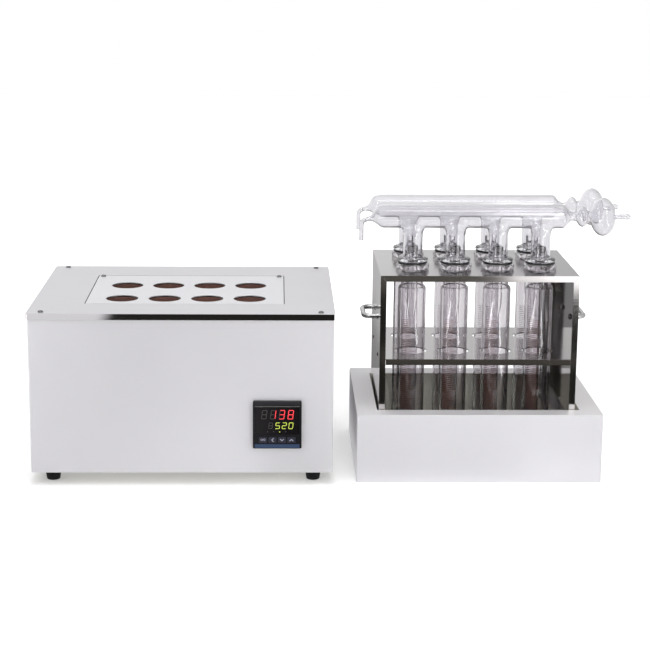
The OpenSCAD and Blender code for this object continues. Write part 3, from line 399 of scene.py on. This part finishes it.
# Painted light: a paler olive copy of the sheet for the tray's shaded recess
RECESS_LIGHT_PAINT = shade("olive_recess_painted_light", (0.87, 0.845, 0.77), 0.45, 0.15, (600, 600, 3), 0.06, 0.05)
# Painted light: a paler copy of the satin sheet for the tray's top
TRAY_TOP_LIGHT_PAINT = shade("tray_top_painted_light", (0.71, 0.695, 0.71), 0.42, 0.25, **SATIN)
SKIRT_STEEL = shade("bright_fold_steel", (0.66, 0.65, 0.66), 0.04, 1.0, (4, 500, 500), 0.02)
# Painted shade: a darker, brushed copy of the rack steel for the rack's top
RACK_TOP_SHADE_PAINT = shade("rack_top_painted_shade", (0.45, 0.435, 0.44), 0.2, 1.0, (5, 600, 600), 0.05, 0.04)
# Painted shade: a darker copy of the rack steel for the shelf's top under the rack's top plate
SHELF_TOP_SHADE_PAINT = shade("shelf_top_painted_shade", (0.43, 0.415, 0.415), 0.12, 1.0, (5, 600, 600), 0.04, 0.03)
RED_DIGIT = lit("red_digit", (0.72, 0.035, 0.045), 0.75)
DIM_DIGIT = shade("unlit_digit", (0.034, 0.028, 0.028), 0.3)
GREEN_DIGIT = lit("green_digit", (0.42, 0.5, 0.06), 0.75)
KEY_SIGN = shade("pale_legend", (0.33, 0.32, 0.38), 0.5)
# Painted highlight: grey for the lit top edge of the bezel
BROW_HIGHLIGHT_PAINT = shade("painted_brow_highlight", (0.11, 0.11, 0.1), 0.5)
SCALE_AMBER = shade("amber_graduation", (0.11, 0.035, 0.02), 0.5, mottle=0.2)


def paint_frame():
    """Gives each CAD node the finish of its material slot."""
    for part in frame["record"]["subparts"]:
        node = nodes[part["node"]]
        node.data.materials.clear()
        node.data.materials.append(FINISH[part["material_slot"]])


# ---------- Modelling helpers ----------

# Angles in degrees: up to the first two faces shade as one, and from the third an edge is softened
SMOOTH_CAD, SMOOTH_ROUND, SOFT_EDGE_FROM = 50, 40, 35


def finish_piece(piece, name, body, slot, stands_for=(), surface=None):
    """Names a finished piece, sets its place in its mesh, gives it its finish and hangs it on its
    body."""
    piece.name = name
    settled(piece)
    piece.data.materials.clear()
    piece.data.materials.append(surface or FINISH[slot])
    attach(piece, body)
    if stands_for:
        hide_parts(*stands_for)
    return piece


def merged_copy(node, edge):
    """Copy of a CAD node with its triangles merged and its edges softened."""
    piece = nodes[node].copy()
    piece.data = piece.data.copy()
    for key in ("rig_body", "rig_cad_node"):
        del piece[key]
    bpy.context.scene.collection.objects.link(piece)
    piece.parent = None
    picked(piece)
    bpy.ops.object.mode_set(mode="EDIT")
    bpy.ops.mesh.select_all(action="SELECT")
    bpy.ops.mesh.remove_doubles(threshold=0.00001)
    bpy.ops.mesh.dissolve_limited(angle_limit=math.radians(0.5))
    bpy.ops.object.mode_set(mode="OBJECT")
    if edge:
        modified(piece, "BEVEL", width=edge, segments=2, limit_method="ANGLE",
                 angle_limit=math.radians(SOFT_EDGE_FROM))
    bpy.ops.object.shade_smooth_by_angle(angle=math.radians(SMOOTH_CAD))
    modified(piece, "WEIGHTED_NORMAL", keep_sharp=True)
    return piece


def softened(node, name, body, slot, edge):
    """Dresses a CAD node as itself with softer edges. edge is their width in metres, or 0."""
    return finish_piece(merged_copy(node, edge), name, body, slot, (node,))


def refinish(piece, surface, faces):
    """Gives a second finish to the faces that pass a test of their centre and normal."""
    piece.data.materials.append(surface)
    spot = len(piece.data.materials) - 1
    for face in piece.data.polygons:
        if faces(face.center, face.normal):
            face.material_index = spot


def arc(cx, cz, rx, rz, start, end, steps):
    """Points of an arc as (radius, height), from start to end in degrees."""
    points = []
    for i in range(steps + 1):
        a = math.radians(start + (end - start) * i / steps)
        points.append((cx + rx * math.cos(a), cz + rz * math.sin(a)))
    return points


def turned(outline, place, lean=(0, 0, 0), sides=48, ring=False):
    """Round piece: a circle is extruded and scaled along its outline of (radius, height), then set
    in place. A ring closes on its start, and any other piece gets two end faces."""
    bpy.ops.object.select_all(action="DESELECT")
    r0, z0 = outline[0]
    bpy.ops.mesh.primitive_circle_add(vertices=sides, radius=r0 / 1000)
    piece = bpy.context.object
    bpy.ops.object.mode_set(mode="EDIT")
    bpy.ops.mesh.select_all(action="SELECT")
    bpy.ops.transform.translate(value=(0, 0, z0 / 1000))
    for r1, z1 in outline[1:] + (outline[:1] if ring else []):
        rise = (z1 - z0) / 1000
        bpy.ops.mesh.extrude_region_move(TRANSFORM_OT_translate={"value": (0, 0, rise)})
        bpy.ops.transform.resize(value=(r1 / r0, r1 / r0, 1), center_override=(0, 0, z1 / 1000))
        r0, z0 = r1, z1
    bpy.ops.mesh.select_all(action="SELECT")
    if ring:
        bpy.ops.mesh.remove_doubles(threshold=0.000005)
    else:
        bpy.ops.mesh.select_non_manifold(extend=False)
        bpy.ops.mesh.edge_face_add()
        bpy.ops.mesh.select_all(action="SELECT")
    bpy.ops.mesh.normals_make_consistent(inside=False)
    bpy.ops.object.mode_set(mode="OBJECT")
    bpy.ops.object.shade_smooth_by_angle(angle=math.radians(SMOOTH_ROUND))
    piece.location = at(*place)
    piece.rotation_euler = lean
    return piece


def copied(piece, shift):
    """Copy with its own mesh, moved by millimetres."""
    copy = piece.copy()
    copy.data = piece.data.copy()
    bpy.context.scene.collection.objects.link(copy)
    copy.location = piece.location + Vector(shift) / 1000
    return copy


def picked(*pieces):
    """Selects these pieces alone and makes the first one active."""
    bpy.ops.object.select_all(action="DESELECT")
    for piece in pieces:
        piece.select_set(True)
    bpy.context.view_layer.objects.active = pieces[0]


def joined(pieces):
    """Joins pieces into the first one."""
    picked(*pieces)
    bpy.ops.object.join()
    return bpy.context.object


def settled(piece):
    """Moves a piece's place and turn into its mesh."""
    picked(piece)
    bpy.ops.object.transform_apply(location=True, rotation=True, scale=True)
    return piece


def modified(piece, kind, **values):
    """Adds a modifier with its values and applies it."""
    modifier = piece.modifiers.new(kind.lower(), kind)
    for key, value in values.items():
        setattr(modifier, key, value)
    bpy.context.view_layer.objects.active = piece
    bpy.ops.object.modifier_apply(modifier=modifier.name)


def cut(piece, place, normal, **sides):
    """Cuts a piece along a plane. sides says what is cleared, and whether the cut is filled."""
    bpy.context.view_layer.objects.active = piece
    bpy.ops.object.mode_set(mode="EDIT")
    bpy.ops.mesh.select_all(action="SELECT")
    bpy.ops.mesh.bisect(plane_co=place, plane_no=normal, **sides)
    bpy.ops.object.mode_set(mode="OBJECT")


# ---------- Tubes ----------

TUBE_R, NECK_R, TUBE_WALL = 21, 17, 2
FOOT_Z, SHOULDER_Z, MOUTH_Z = 40, 279, 319

# Volume scale: lines printed from an angle left of the tube's front to one of three others
SCALE_LINES, SCALE_Z, SCALE_STEP, SCALE_THICK = 47, 96, 3, 0.62
SCALE_LEFT, SHORT_REACH, MIDDLE_REACH, LONG_REACH = -52, -6, 4, 12

GASKET_LINE = [(16, 319), (21.4, 319), (22, 319.6), (22, 321.4), (21.4, 322), (16, 322)]


def tube_outline():
    """Outside from the round foot to the beaded mouth, then the inside back to the foot."""
    bore_r, neck_bore_r = TUBE_R - TUBE_WALL, NECK_R - TUBE_WALL
    outer = arc(0, FOOT_Z, TUBE_R, TUBE_R, -88, 0, 12)
    outer += arc(NECK_R, SHOULDER_Z, TUBE_R - NECK_R, 6, 0, 80, 6)
    outer += [(NECK_R, SHOULDER_Z + 7), (NECK_R, 305), (18.5, 308.4), (20.5, 309.6), (23, 310.05)]
    outer += arc(23, 314.5, 2, 4.4, -70, 70, 8) + [(22, MOUTH_Z), (19.6, MOUTH_Z)]
    inner = [(18.6, 318.4), (16.4, 312), (neck_bore_r, 307), (neck_bore_r, SHOULDER_Z + 5)]
    inner += arc(neck_bore_r, SHOULDER_Z - 2, bore_r - neck_bore_r, 6, 78, 0, 6)
    inner += arc(0, FOOT_Z, bore_r, bore_r, 0, -88, 12)
    return outer + inner


def make_tubes():
    """Eight tubes, each a copy of the first."""
    first = turned(tube_outline(), (TUBE_X[0], ROWS["front"], 0), sides=72)
    for row, y in ROWS.items():
        for i, x in enumerate(TUBE_X):
            tube = copied(first, (x - TUBE_X[0], y - ROWS["front"], 0))
            finish_piece(tube, f"{row}_glass_tube_{i + 1}", f"{row}_tubes", "tube_glass",
                         (f"{row}_tube_{i + 1}",))
    bpy.data.objects.remove(first)


def printed_line(z, left, right):
    """Line printed round part of the first tube, between two angles in degrees from its front."""
    low_r, high_r, top = TUBE_R + 0.02, TUBE_R + 0.08, z + SCALE_THICK
    line = turned([(low_r, z), (low_r, top), (high_r, top), (high_r, z)],
                  (TUBE_X[0], ROWS["front"], 0), sides=120, ring=True)
    for angle, side in ((left, 1), (right, -1)):
        a = math.radians(angle - 90)
        cut(line, line.location, (-side * math.sin(a), side * math.cos(a), 0),
            use_fill=True, clear_inner=True)
    return line


def make_graduations():
    """Volume scale on the left of each tube. Every fifth line is long, every tenth the longest."""
    lines = []
    for i in range(SCALE_LINES):
        reach = LONG_REACH if i % 10 == 0 else (MIDDLE_REACH if i % 5 == 0 else SHORT_REACH)
        lines.append(printed_line(SCALE_Z + SCALE_STEP * i, SCALE_LEFT, reach))
    scale = joined(lines)
    for row, y in ROWS.items():
        marks = [copied(scale, (x - TUBE_X[0], y - ROWS["front"], 0)) for x in TUBE_X]
        finish_piece(joined(marks), f"{row}_volume_scales", f"{row}_tubes", "tube_glass",
                     surface=SCALE_AMBER)
    bpy.data.objects.remove(scale)


def make_gaskets():
    """Rubber ring on the mouth of each tube, a row as one piece."""
    for row, y in ROWS.items():
        rings = [turned(GASKET_LINE, (x, y, 0), ring=True) for x in TUBE_X]
        finish_piece(joined(rings), f"{row}_gasket_rings", f"{row}_tubes", "gasket_rubber",
                     (f"{row}_gaskets",))


# ---------- Manifolds ----------

# Funnel and drain at the left end: the funnel falls by FUNNEL_DROP on its length
FUNNEL_L, FUNNEL_DROP, DRAIN_R, DRAIN_BEND_R, DRAIN_L = 25, 6, 3.5, 7.5, 24
DRAIN_TILT = math.asin(FUNNEL_DROP / FUNNEL_L)
DRAIN_LAP = 1
FUNNEL_LINE = [(13, -4), (17, 0), (16.4, 3), (14.8, 5.2), (12.6, 7.8), (8.5, 11.3), (5.7, 14),
               (4.3, 17), (3.7, 20), (DRAIN_R, FUNNEL_L + 0.5)]

# Neck and bulbs at the right end
NECK_X, SMALL_BULB_X, LARGE_BULB_X, BARB_X = (MAIN_END + out for out in (11, 27.5, 58.5, 78))

# Legs, as (radius, height) over the bench
LEG_LINE = [(14.7, 320), (14.7, 362), (15.4, 367), (17.2, 372.5), (16.5, 378), (13, 384)]
LEG_OPEN_Z = 325
FLANGE_LINE = [(13.2, 322), (22.2, 322), (22.9, 322.7), (23, 324), (22.8, 325.6), (21.8, 326.8),
               (20, 327.1), (17, 327.2), (15.6, 328.4), (14.8, 330.5), (13.2, 330.5)]
DRIP_LINE = [(13.0, 322.2), (11, 319), (8, 314), (8, 258), (5.8, 242), (5, 236), (3.5, 236),
             (4.3, 242), (6.5, 258), (6.5, 343.4), (6.9, 344), (7.6, 344), (8, 343.4), (8, 319),
             (10.6, 321), (13.0, 323.4)]

# Uneven glass at the melted joints of the legs (at a height) and of the neck (at a place along X)
MELT_LEG_Z, MELT_NECK_X, MELT_REACH, MELT_LEG_R = 370, TUBE_X[3] + 42, 14, 21

# In metres: the ripple, the grain of the blown shell, and the walls of the shell and of the drain
RIPPLE_SIZE, RIPPLE_HEIGHT = 0.006, 0.0018
SHELL_VOXEL, SHELL_WALL, DRAIN_WALL = 0.0015, 0.0016, 0.0013


def main_outline():
    """Rounded left end, main tube, neck and two bulbs as (radius, x)."""
    start, end = MAIN_START, MAIN_END
    line = [(9, start - 5), (11, start - 5), (15.5, start - 3), (17.6, start), (18, start + 4),
            (18, end - 2), (17, end), (7.1, NECK_X - 2), (6.5, NECK_X), (6.5, NECK_X + 3)]
    line += [(r, x) for x, r in arc(SMALL_BULB_X, 0, 9.5, 15.6, 155, 25, 12)]
    line += [(r, x) for x, r in arc(LARGE_BULB_X, 0, 19, 29, 158, 10, 22)]
    return line


def blown_body(y):
    """Main tube, legs, bulbs and drain funnel blown as one shell with flowing joints."""
    parts = [turned(main_outline(), (0, y, MANIFOLD_Z), ALONG_X, 64)]
    down_left = (0, -math.pi / 2 - DRAIN_TILT, 0)
    parts.append(turned(FUNNEL_LINE, (MAIN_START, y, MANIFOLD_Z), down_left, 48))
    for x in TUBE_X:
        parts.append(turned(LEG_LINE, (x, y, 0), sides=48))
    for part in parts:
        settled(part)
    body = joined(parts)
    modified(body, "REMESH", mode="VOXEL", voxel_size=SHELL_VOXEL)
    modified(body, "SMOOTH", factor=0.5, iterations=8)
    rippled(body)
    cut(body, at(0, y, LEG_OPEN_Z), (0, 0, -1), clear_outer=True)
    cut(body, at(MAIN_START - FUNNEL_L + DRAIN_LAP, y, 0), (-1, 0, 0), clear_outer=True)
    modified(body, "SOLIDIFY", thickness=SHELL_WALL, offset=-1)
    bpy.ops.object.shade_smooth()
    return body


def rippled(body):
    """Makes the glass a little uneven where the legs and the neck were melted on."""
    group = body.vertex_groups.new(name="melted")
    for vertex in body.data.vertices:
        x, z = (vertex.co.x - corner.x) * 1000, vertex.co.z * 1000
        on_leg = min(abs(x - leg_x) for leg_x in TUBE_X) < MELT_LEG_R
        joint = max(0, 1 - abs(z - MELT_LEG_Z) / MELT_REACH) if on_leg else 0
        neck = max(0, 1 - abs(x - MELT_NECK_X) / MELT_REACH)
        if joint + neck > 0:
            group.add([vertex.index], min(1, joint + neck), "REPLACE")
    clouds = bpy.data.textures.new("melted_glass", "CLOUDS")
    clouds.noise_scale = RIPPLE_SIZE
    modified(body, "DISPLACE", texture=clouds, texture_coords="LOCAL", vertex_group=group.name,
             strength=RIPPLE_HEIGHT, mid_level=0.5)


def drain_hook(y):
    """Narrow glass drain that bends down at the left end of a manifold."""
    tilt_cos, tilt_sin = math.cos(DRAIN_TILT), math.sin(DRAIN_TILT)
    bend_x = MAIN_START - FUNNEL_L * tilt_cos + DRAIN_BEND_R * tilt_sin
    bend_z = MANIFOLD_Z - FUNNEL_DROP - DRAIN_BEND_R * tilt_cos
    start = FUNNEL_L - DRAIN_LAP
    bpy.ops.object.select_all(action="DESELECT")
    bpy.ops.mesh.primitive_circle_add(vertices=24, radius=DRAIN_R / 1000,
                                      rotation=(0, -math.pi / 2 - DRAIN_TILT, 0))
    hook = bpy.context.object
    hook.location = at(MAIN_START - start * tilt_cos, y, MANIFOLD_Z - start * tilt_sin)
    settled(hook)
    bpy.ops.object.mode_set(mode="EDIT")
    bpy.ops.mesh.select_all(action="SELECT")
    bpy.ops.mesh.extrude_region_move(TRANSFORM_OT_translate={
        "value": (-DRAIN_LAP / 1000 * tilt_cos, 0, -DRAIN_LAP / 1000 * tilt_sin)})
    bpy.ops.mesh.spin(steps=10, angle=math.pi / 2 - DRAIN_TILT, center=at(bend_x, y, bend_z),
                      axis=(0, 1, 0))
    bpy.ops.mesh.extrude_region_move(TRANSFORM_OT_translate={"value": (0, 0, -DRAIN_L / 1000)})
    bpy.ops.mesh.select_all(action="SELECT")
    bpy.ops.mesh.remove_doubles(threshold=0.00002)
    bpy.ops.mesh.normals_make_consistent(inside=False)
    bpy.ops.object.mode_set(mode="OBJECT")
    lowest = min(hook.data.polygons, key=lambda face: face.center.z)
    if lowest.normal.x * (lowest.center.x - at(bend_x - DRAIN_BEND_R, y, 0).x) < 0:
        hook.data.flip_normals()
    modified(hook, "SOLIDIFY", thickness=DRAIN_WALL, offset=-1)
    bpy.ops.object.shade_smooth_by_angle(angle=math.radians(SMOOTH_ROUND))
    return hook


def barb_outline():
    """Ribbed hose barb as (radius, distance), with four ribs."""
    line = [(2.4, 0), (3.8, 0), (3.8, 4)]
    for i in range(4):
        rib = ((3.85, 0.2), (4.7, 0.7), (4.6, 1.9), (3.85, 3.8))
        line += [(r, 4 + 4 * i + out) for r, out in rib]
    return line + [(3.7, 21.6), (3.4, 22), (2.4, 22)]


def make_manifolds():
    """Front manifold with its fittings and drip tubes, and a copy of each on the back row."""
    y = ROWS["front"]
    shell = [blown_body(y), drain_hook(y)]
    barb = turned(barb_outline(), (BARB_X, y, MANIFOLD_Z), ALONG_X, 32, ring=True)
    flanges = [turned(FLANGE_LINE, (x, y, 0), sides=64, ring=True) for x in TUBE_X]
    glass = joined(shell + [barb] + flanges)
    back_glass = copied(glass, (0, ROW_STEP, 0))
    finish_piece(glass, "front_fume_glass", "front_manifold", "manifold_glass",
                 ("front_manifold",))
    finish_piece(back_glass, "back_fume_glass", "back_manifold", "manifold_glass",
                 ("back_manifold",))
    drips = joined([turned(DRIP_LINE, (x, y, 0), sides=40, ring=True) for x in TUBE_X])
    back_drips = copied(drips, (0, ROW_STEP, 0))
    finish_piece(drips, "front_drip_glass", "front_manifold", "manifold_glass",
                 ("front_drip_tubes",), DRIP_GLASS)
    finish_piece(back_drips, "back_drip_glass", "back_manifold", "manifold_glass",
                 ("back_drip_tubes",), DRIP_GLASS)


# ---------- Sheet metal ----------

# Boxes, as two corners, and heights that mark the faces with a finish of their own. The lid gap, the
# shelf holes and the rack top get painted shade, the tray recess painted light.
LID_GAP = at(76, 69, 250), at(380, 290, 259.3)
TRAY_RECESS = at(516, 37, 2), at(824, 259, 103)
SHELF_HOLES = at(528, 48, 180), at(807, 248, 195)
SKIRT_Z, RACK_TOP_Z = at(0, 0, 250).z, at(0, 0, 305).z


def inside(point, low, high):
    """Whether a point lies between two corners, seen from above."""
    return low.x < point.x < high.x and low.y < point.y < high.y


def dress_lid():
    """Lid with a brighter skirt in front and painted shade in the gap round the insert plate."""
    lid = softened("lid", "lid_sheet", "base", "case_steel", 0.0006)
    refinish(lid, SKIRT_STEEL, lambda c, n: n.y < -0.6 and c.z > SKIRT_Z)
    low, high = LID_GAP
    refinish(lid, GAP_SHADE_PAINT, lambda c, n: inside(c, low, high) and c.z < high.z)


def dress_tray():
    """Tray with painted light: a paler top and a paler olive recess."""
    tray = softened("tray_shell", "tray_sheet", "base", "case_steel", 0.0006)
    low, high = TRAY_RECESS
    refinish(tray, TRAY_TOP_LIGHT_PAINT, lambda c, n: n.z > 0.9 and c.z > high.z)
    refinish(tray, RECESS_LIGHT_PAINT, lambda c, n: inside(c, low, high) and c.z < high.z)


def dress_rack():
    """Rack with a brushed top darkened as painted shade, and its shelf with a top darkened as painted
    shade and painted shade on the rims of the holes.
    """
    rack = softened("rack_frame", "rack_sheet", "rack", "rack_steel", 0.0004)
    refinish(rack, RACK_TOP_SHADE_PAINT, lambda c, n: n.z > 0.9 and c.z > RACK_TOP_Z)
    shelf = softened("rack_shelf", "shelf_sheet", "rack", "rack_steel", 0.0004)
    refinish(shelf, SHELF_TOP_SHADE_PAINT, lambda c, n: n.z > 0.9)
    low, high = SHELF_HOLES
    refinish(shelf, GAP_SHADE_PAINT, lambda c, n: abs(n.z) < 0.3 and inside(c, low, high))


def make_sheet_metal():
    dress_lid()
    softened("case_shell", "case_sheet", "base", "case_steel", 0.0004)
    softened("insert_plate", "insert_sheet", "base", "insert_steel", 0.0002)
    dress_tray()
    dress_rack()
    softened("well_liners", "well_cups", "base", "liner_ceramic", 0.0003)
    softened("lid_screws", "lid_screw_heads", "base", "screw_steel", 0.0001)
    softened("insert_screws", "insert_screw_heads", "base", "screw_steel", 0.0001)
    softened("handle_left", "left_bow_handle", "rack", "handle_chrome", 0)
    softened("handle_right", "right_bow_handle", "rack", "handle_chrome", 0)
    softened("handle_screws", "handle_screw_heads", "rack", "screw_steel", 0.0001)
    softened("feet", "rubber_feet", "base", "foot_rubber", 0.0003)


# ---------- Temperature controller ----------

# Bars of a figure: side and level of each, which of them each figure lights, and its slant in
# degrees
BARS = {"a": (0, 1), "b": (1, 0.5), "c": (1, -0.5), "d": (0, -1), "e": (-1, -0.5),
        "f": (-1, 0.5), "g": (0, 0)}
LIT_BARS = {"0": "abcdef", "1": "bc", "2": "abdeg", "3": "abcdg", "5": "acdfg", "8": "abcdefg"}
SLANT = 7

# Rows of the display: their place, the size of a figure, and the lit figures with their places
UPPER_ROW = {"z": 109.7, "width": 8.2, "height": 14.2}
LOWER_ROW = {"z": 92.8, "width": 6.6, "height": 9.8}
UPPER_FIGURES = [("1", 360.9), ("3", 373.9), ("8", 386.9)]
LOWER_FIGURES = [("5", 367.6), ("2", 377.4), ("0", 387.2)]
UPPER_THICK, LOWER_THICK, UPPER_DARK_THICK, LOWER_DARK_THICK = 1.1, 0.85, 1.45, 1.15
UPPER_DARK_X, LOWER_DARK_X = 347.9, 357.2

LAMP_LINE = [(0.2, 0), (0.75, 0), (0.75, 0.1), (0.6, 0.22), (0.2, 0.26)]
LAMP_Z, LIT_LAMP_X, DARK_LAMPS_X = 83.4, 370.6, (352.8, 362, 379.6)
FIGURE_Y, LAMP_Y = CONTROL_FACE_Y + 0.38, CONTROL_FACE_Y + 0.4
# Height and length of the grey line painted as the highlight on the bezel's top edge
BROW_Z, BROW_LENGTH = 122.1, 66.4

# Signs on the keys: a loop's ring and the half angle of an arrow head. SIGN_SUNK, in metres, is how
# deep a sign's back lies in its key.
LOOP_LINE = [(1.0, 0), (1.55, 0), (1.55, 0.1), (1.0, 0.1)]
ARROW_ANGLE = 46
SIGN_SUNK = 0.00007


def bar(x, y, z, length, thick, turn=0.0, proud=0.1):
    """Flat bar with tapered ends standing off a face that looks forward. Sizes in millimetres."""
    bpy.ops.object.select_all(action="DESELECT")
    bpy.ops.mesh.primitive_plane_add(size=0.001)
    piece = bpy.context.object
    bpy.ops.object.mode_set(mode="EDIT")
    bpy.ops.mesh.select_all(action="SELECT")
    bpy.ops.transform.resize(value=(length, thick, 1))
    bpy.ops.mesh.bevel(offset=thick * 0.00046, affect="VERTICES")
    bpy.ops.mesh.extrude_region_move(TRANSFORM_OT_translate={"value": (0, 0, proud / 1000)})
    bpy.ops.mesh.select_all(action="SELECT")
    bpy.ops.mesh.normals_make_consistent(inside=False)
    bpy.ops.object.mode_set(mode="OBJECT")
    piece.rotation_euler = (math.pi / 2, turn, 0)
    piece.location = (x / 1000, y / 1000, z / 1000)
    return settled(piece)


def digit(figure, x, thick, z, width, height, unlit=False):
    """Bars of one slanted figure of the display, or the bars that it leaves dark."""
    bars = []
    for name, (side, level) in BARS.items():
        if (name in LIT_BARS[figure]) == unlit:
            continue
        reach_x, reach_z = (width - thick) / 2, (height - thick) / 2
        if side:
            length, turn = reach_z - thick * 0.15, math.pi / 2
        else:
            length, turn = width - thick * 1.15, 0
        bars.append(bar(side * reach_x, 0, level * reach_z, length, thick, turn))
    made = joined(bars)
    slant = Matrix.Identity(4)
    slant[0][2] = math.tan(math.radians(SLANT))
    made.data.transform(slant)
    made.location = at(x, FIGURE_Y, z)
    return made


def make_display():
    """Lit figures, the dark 8 on the left of each row, and the bars that the 1 and 3 leave dark."""
    red = [digit(figure, x, UPPER_THICK, **UPPER_ROW) for figure, x in UPPER_FIGURES]
    green = [digit(figure, x, LOWER_THICK, **LOWER_ROW) for figure, x in LOWER_FIGURES]
    dark = [digit("8", UPPER_DARK_X, UPPER_DARK_THICK, **UPPER_ROW),
            digit("8", LOWER_DARK_X, LOWER_DARK_THICK, **LOWER_ROW)]
    for figure, x in UPPER_FIGURES[:2]:
        dark.append(digit(figure, x, UPPER_DARK_THICK, unlit=True, **UPPER_ROW))
    finish_piece(joined(red), "red_figures", "base", "window_plastic", surface=RED_DIGIT)
    finish_piece(joined(green), "green_figures", "base", "window_plastic", surface=GREEN_DIGIT)
    finish_piece(joined(dark), "unlit_figures", "base", "window_plastic", surface=DIM_DIGIT)
    dots = [turned(LAMP_LINE, (x, LAMP_Y, LAMP_Z), FORWARD, 16) for x in DARK_LAMPS_X]
    finish_piece(joined(dots), "unlit_lamps", "base", "window_plastic", surface=DIM_DIGIT)
    dot = turned(LAMP_LINE, (LIT_LAMP_X, LAMP_Y, LAMP_Z), FORWARD, 16)
    finish_piece(dot, "lit_lamp", "base", "window_plastic", surface=GREEN_DIGIT)
    # Painted highlight: a grey bar along the lit top edge of the bezel
    line = bar(0, 0, 0, BROW_LENGTH, 0.8, proud=0.12)
    line.location = at(CONTROL_X, CONTROL_FACE_Y, BROW_Z)
    finish_piece(line, "brow_line", "base", "bezel_plastic", surface=BROW_HIGHLIGHT_PAINT)


def loop_sign():
    """Two rings with a short bar between them."""
    rings = [turned(LOOP_LINE, (0, 0, 0), FORWARD, 24, ring=True) for _ in range(2)]
    for ring, x in zip(rings, (-1.9, 1.9)):
        ring.location = (x / 1000, 0, 0.0004)
        settled(ring)
    return joined(rings + [bar(0, 0, 0.4, 1.6, 0.7)])


def arrow_sign(turn):
    """Arrow head of two arms, pointing down before it is turned."""
    arms = []
    for side in (-1, 1):
        arm = bar(side * 1.3, 0, 0.15, 4.3, 1.15, -side * math.radians(ARROW_ANGLE))
        arm.data.transform(Matrix.Rotation(turn, 4, "Y"))
        arms.append(arm)
    return joined(arms)


def make_keys():
    """Sign on each key: a loop, then arrow heads to the left, down and up."""
    turns = {"key_shift": math.pi / 2, "key_down": 0, "key_up": math.pi}
    for key in KEYS:
        low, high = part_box(key)
        middle = (low + high) / 2
        sign = arrow_sign(turns[key]) if key in turns else loop_sign()
        sign.location = (middle.x, low.y + SIGN_SUNK, middle.z)
        finish_piece(sign, key + "_sign", key, "key_plastic", surface=KEY_SIGN)


def make_controller():
    """Bezel, display pane, strip and keys, with what they show."""
    softened("control_bezel", "bezel_frame", "base", "bezel_plastic", 0.0003)
    softened("control_window", "display_pane", "base", "window_plastic", 0.0001)
    softened("control_strip", "coloured_strip", "base", "strip_plastic", 0.0001)
    for key in KEYS:
        softened(key, key + "_pad", key, "key_plastic", 0.0003)
    make_display()
    make_keys()


# ---------- The scene ----------

def set_light_paths():
    """Enough bounces for a look through several glass walls and into the mirrors behind them."""
    cycles = bpy.context.scene.cycles
    cycles.max_bounces = 40
    cycles.transmission_bounces = 36
    cycles.glossy_bounces = 12


bpy.context.scene.view_settings.view_transform = "Standard"
set_light_paths()
set_camera()
studio_world()
lay_floor()
set_lamps()

paint_frame()
make_sheet_metal()
make_tubes()
make_graduations()
make_gaskets()
make_manifolds()
make_controller()
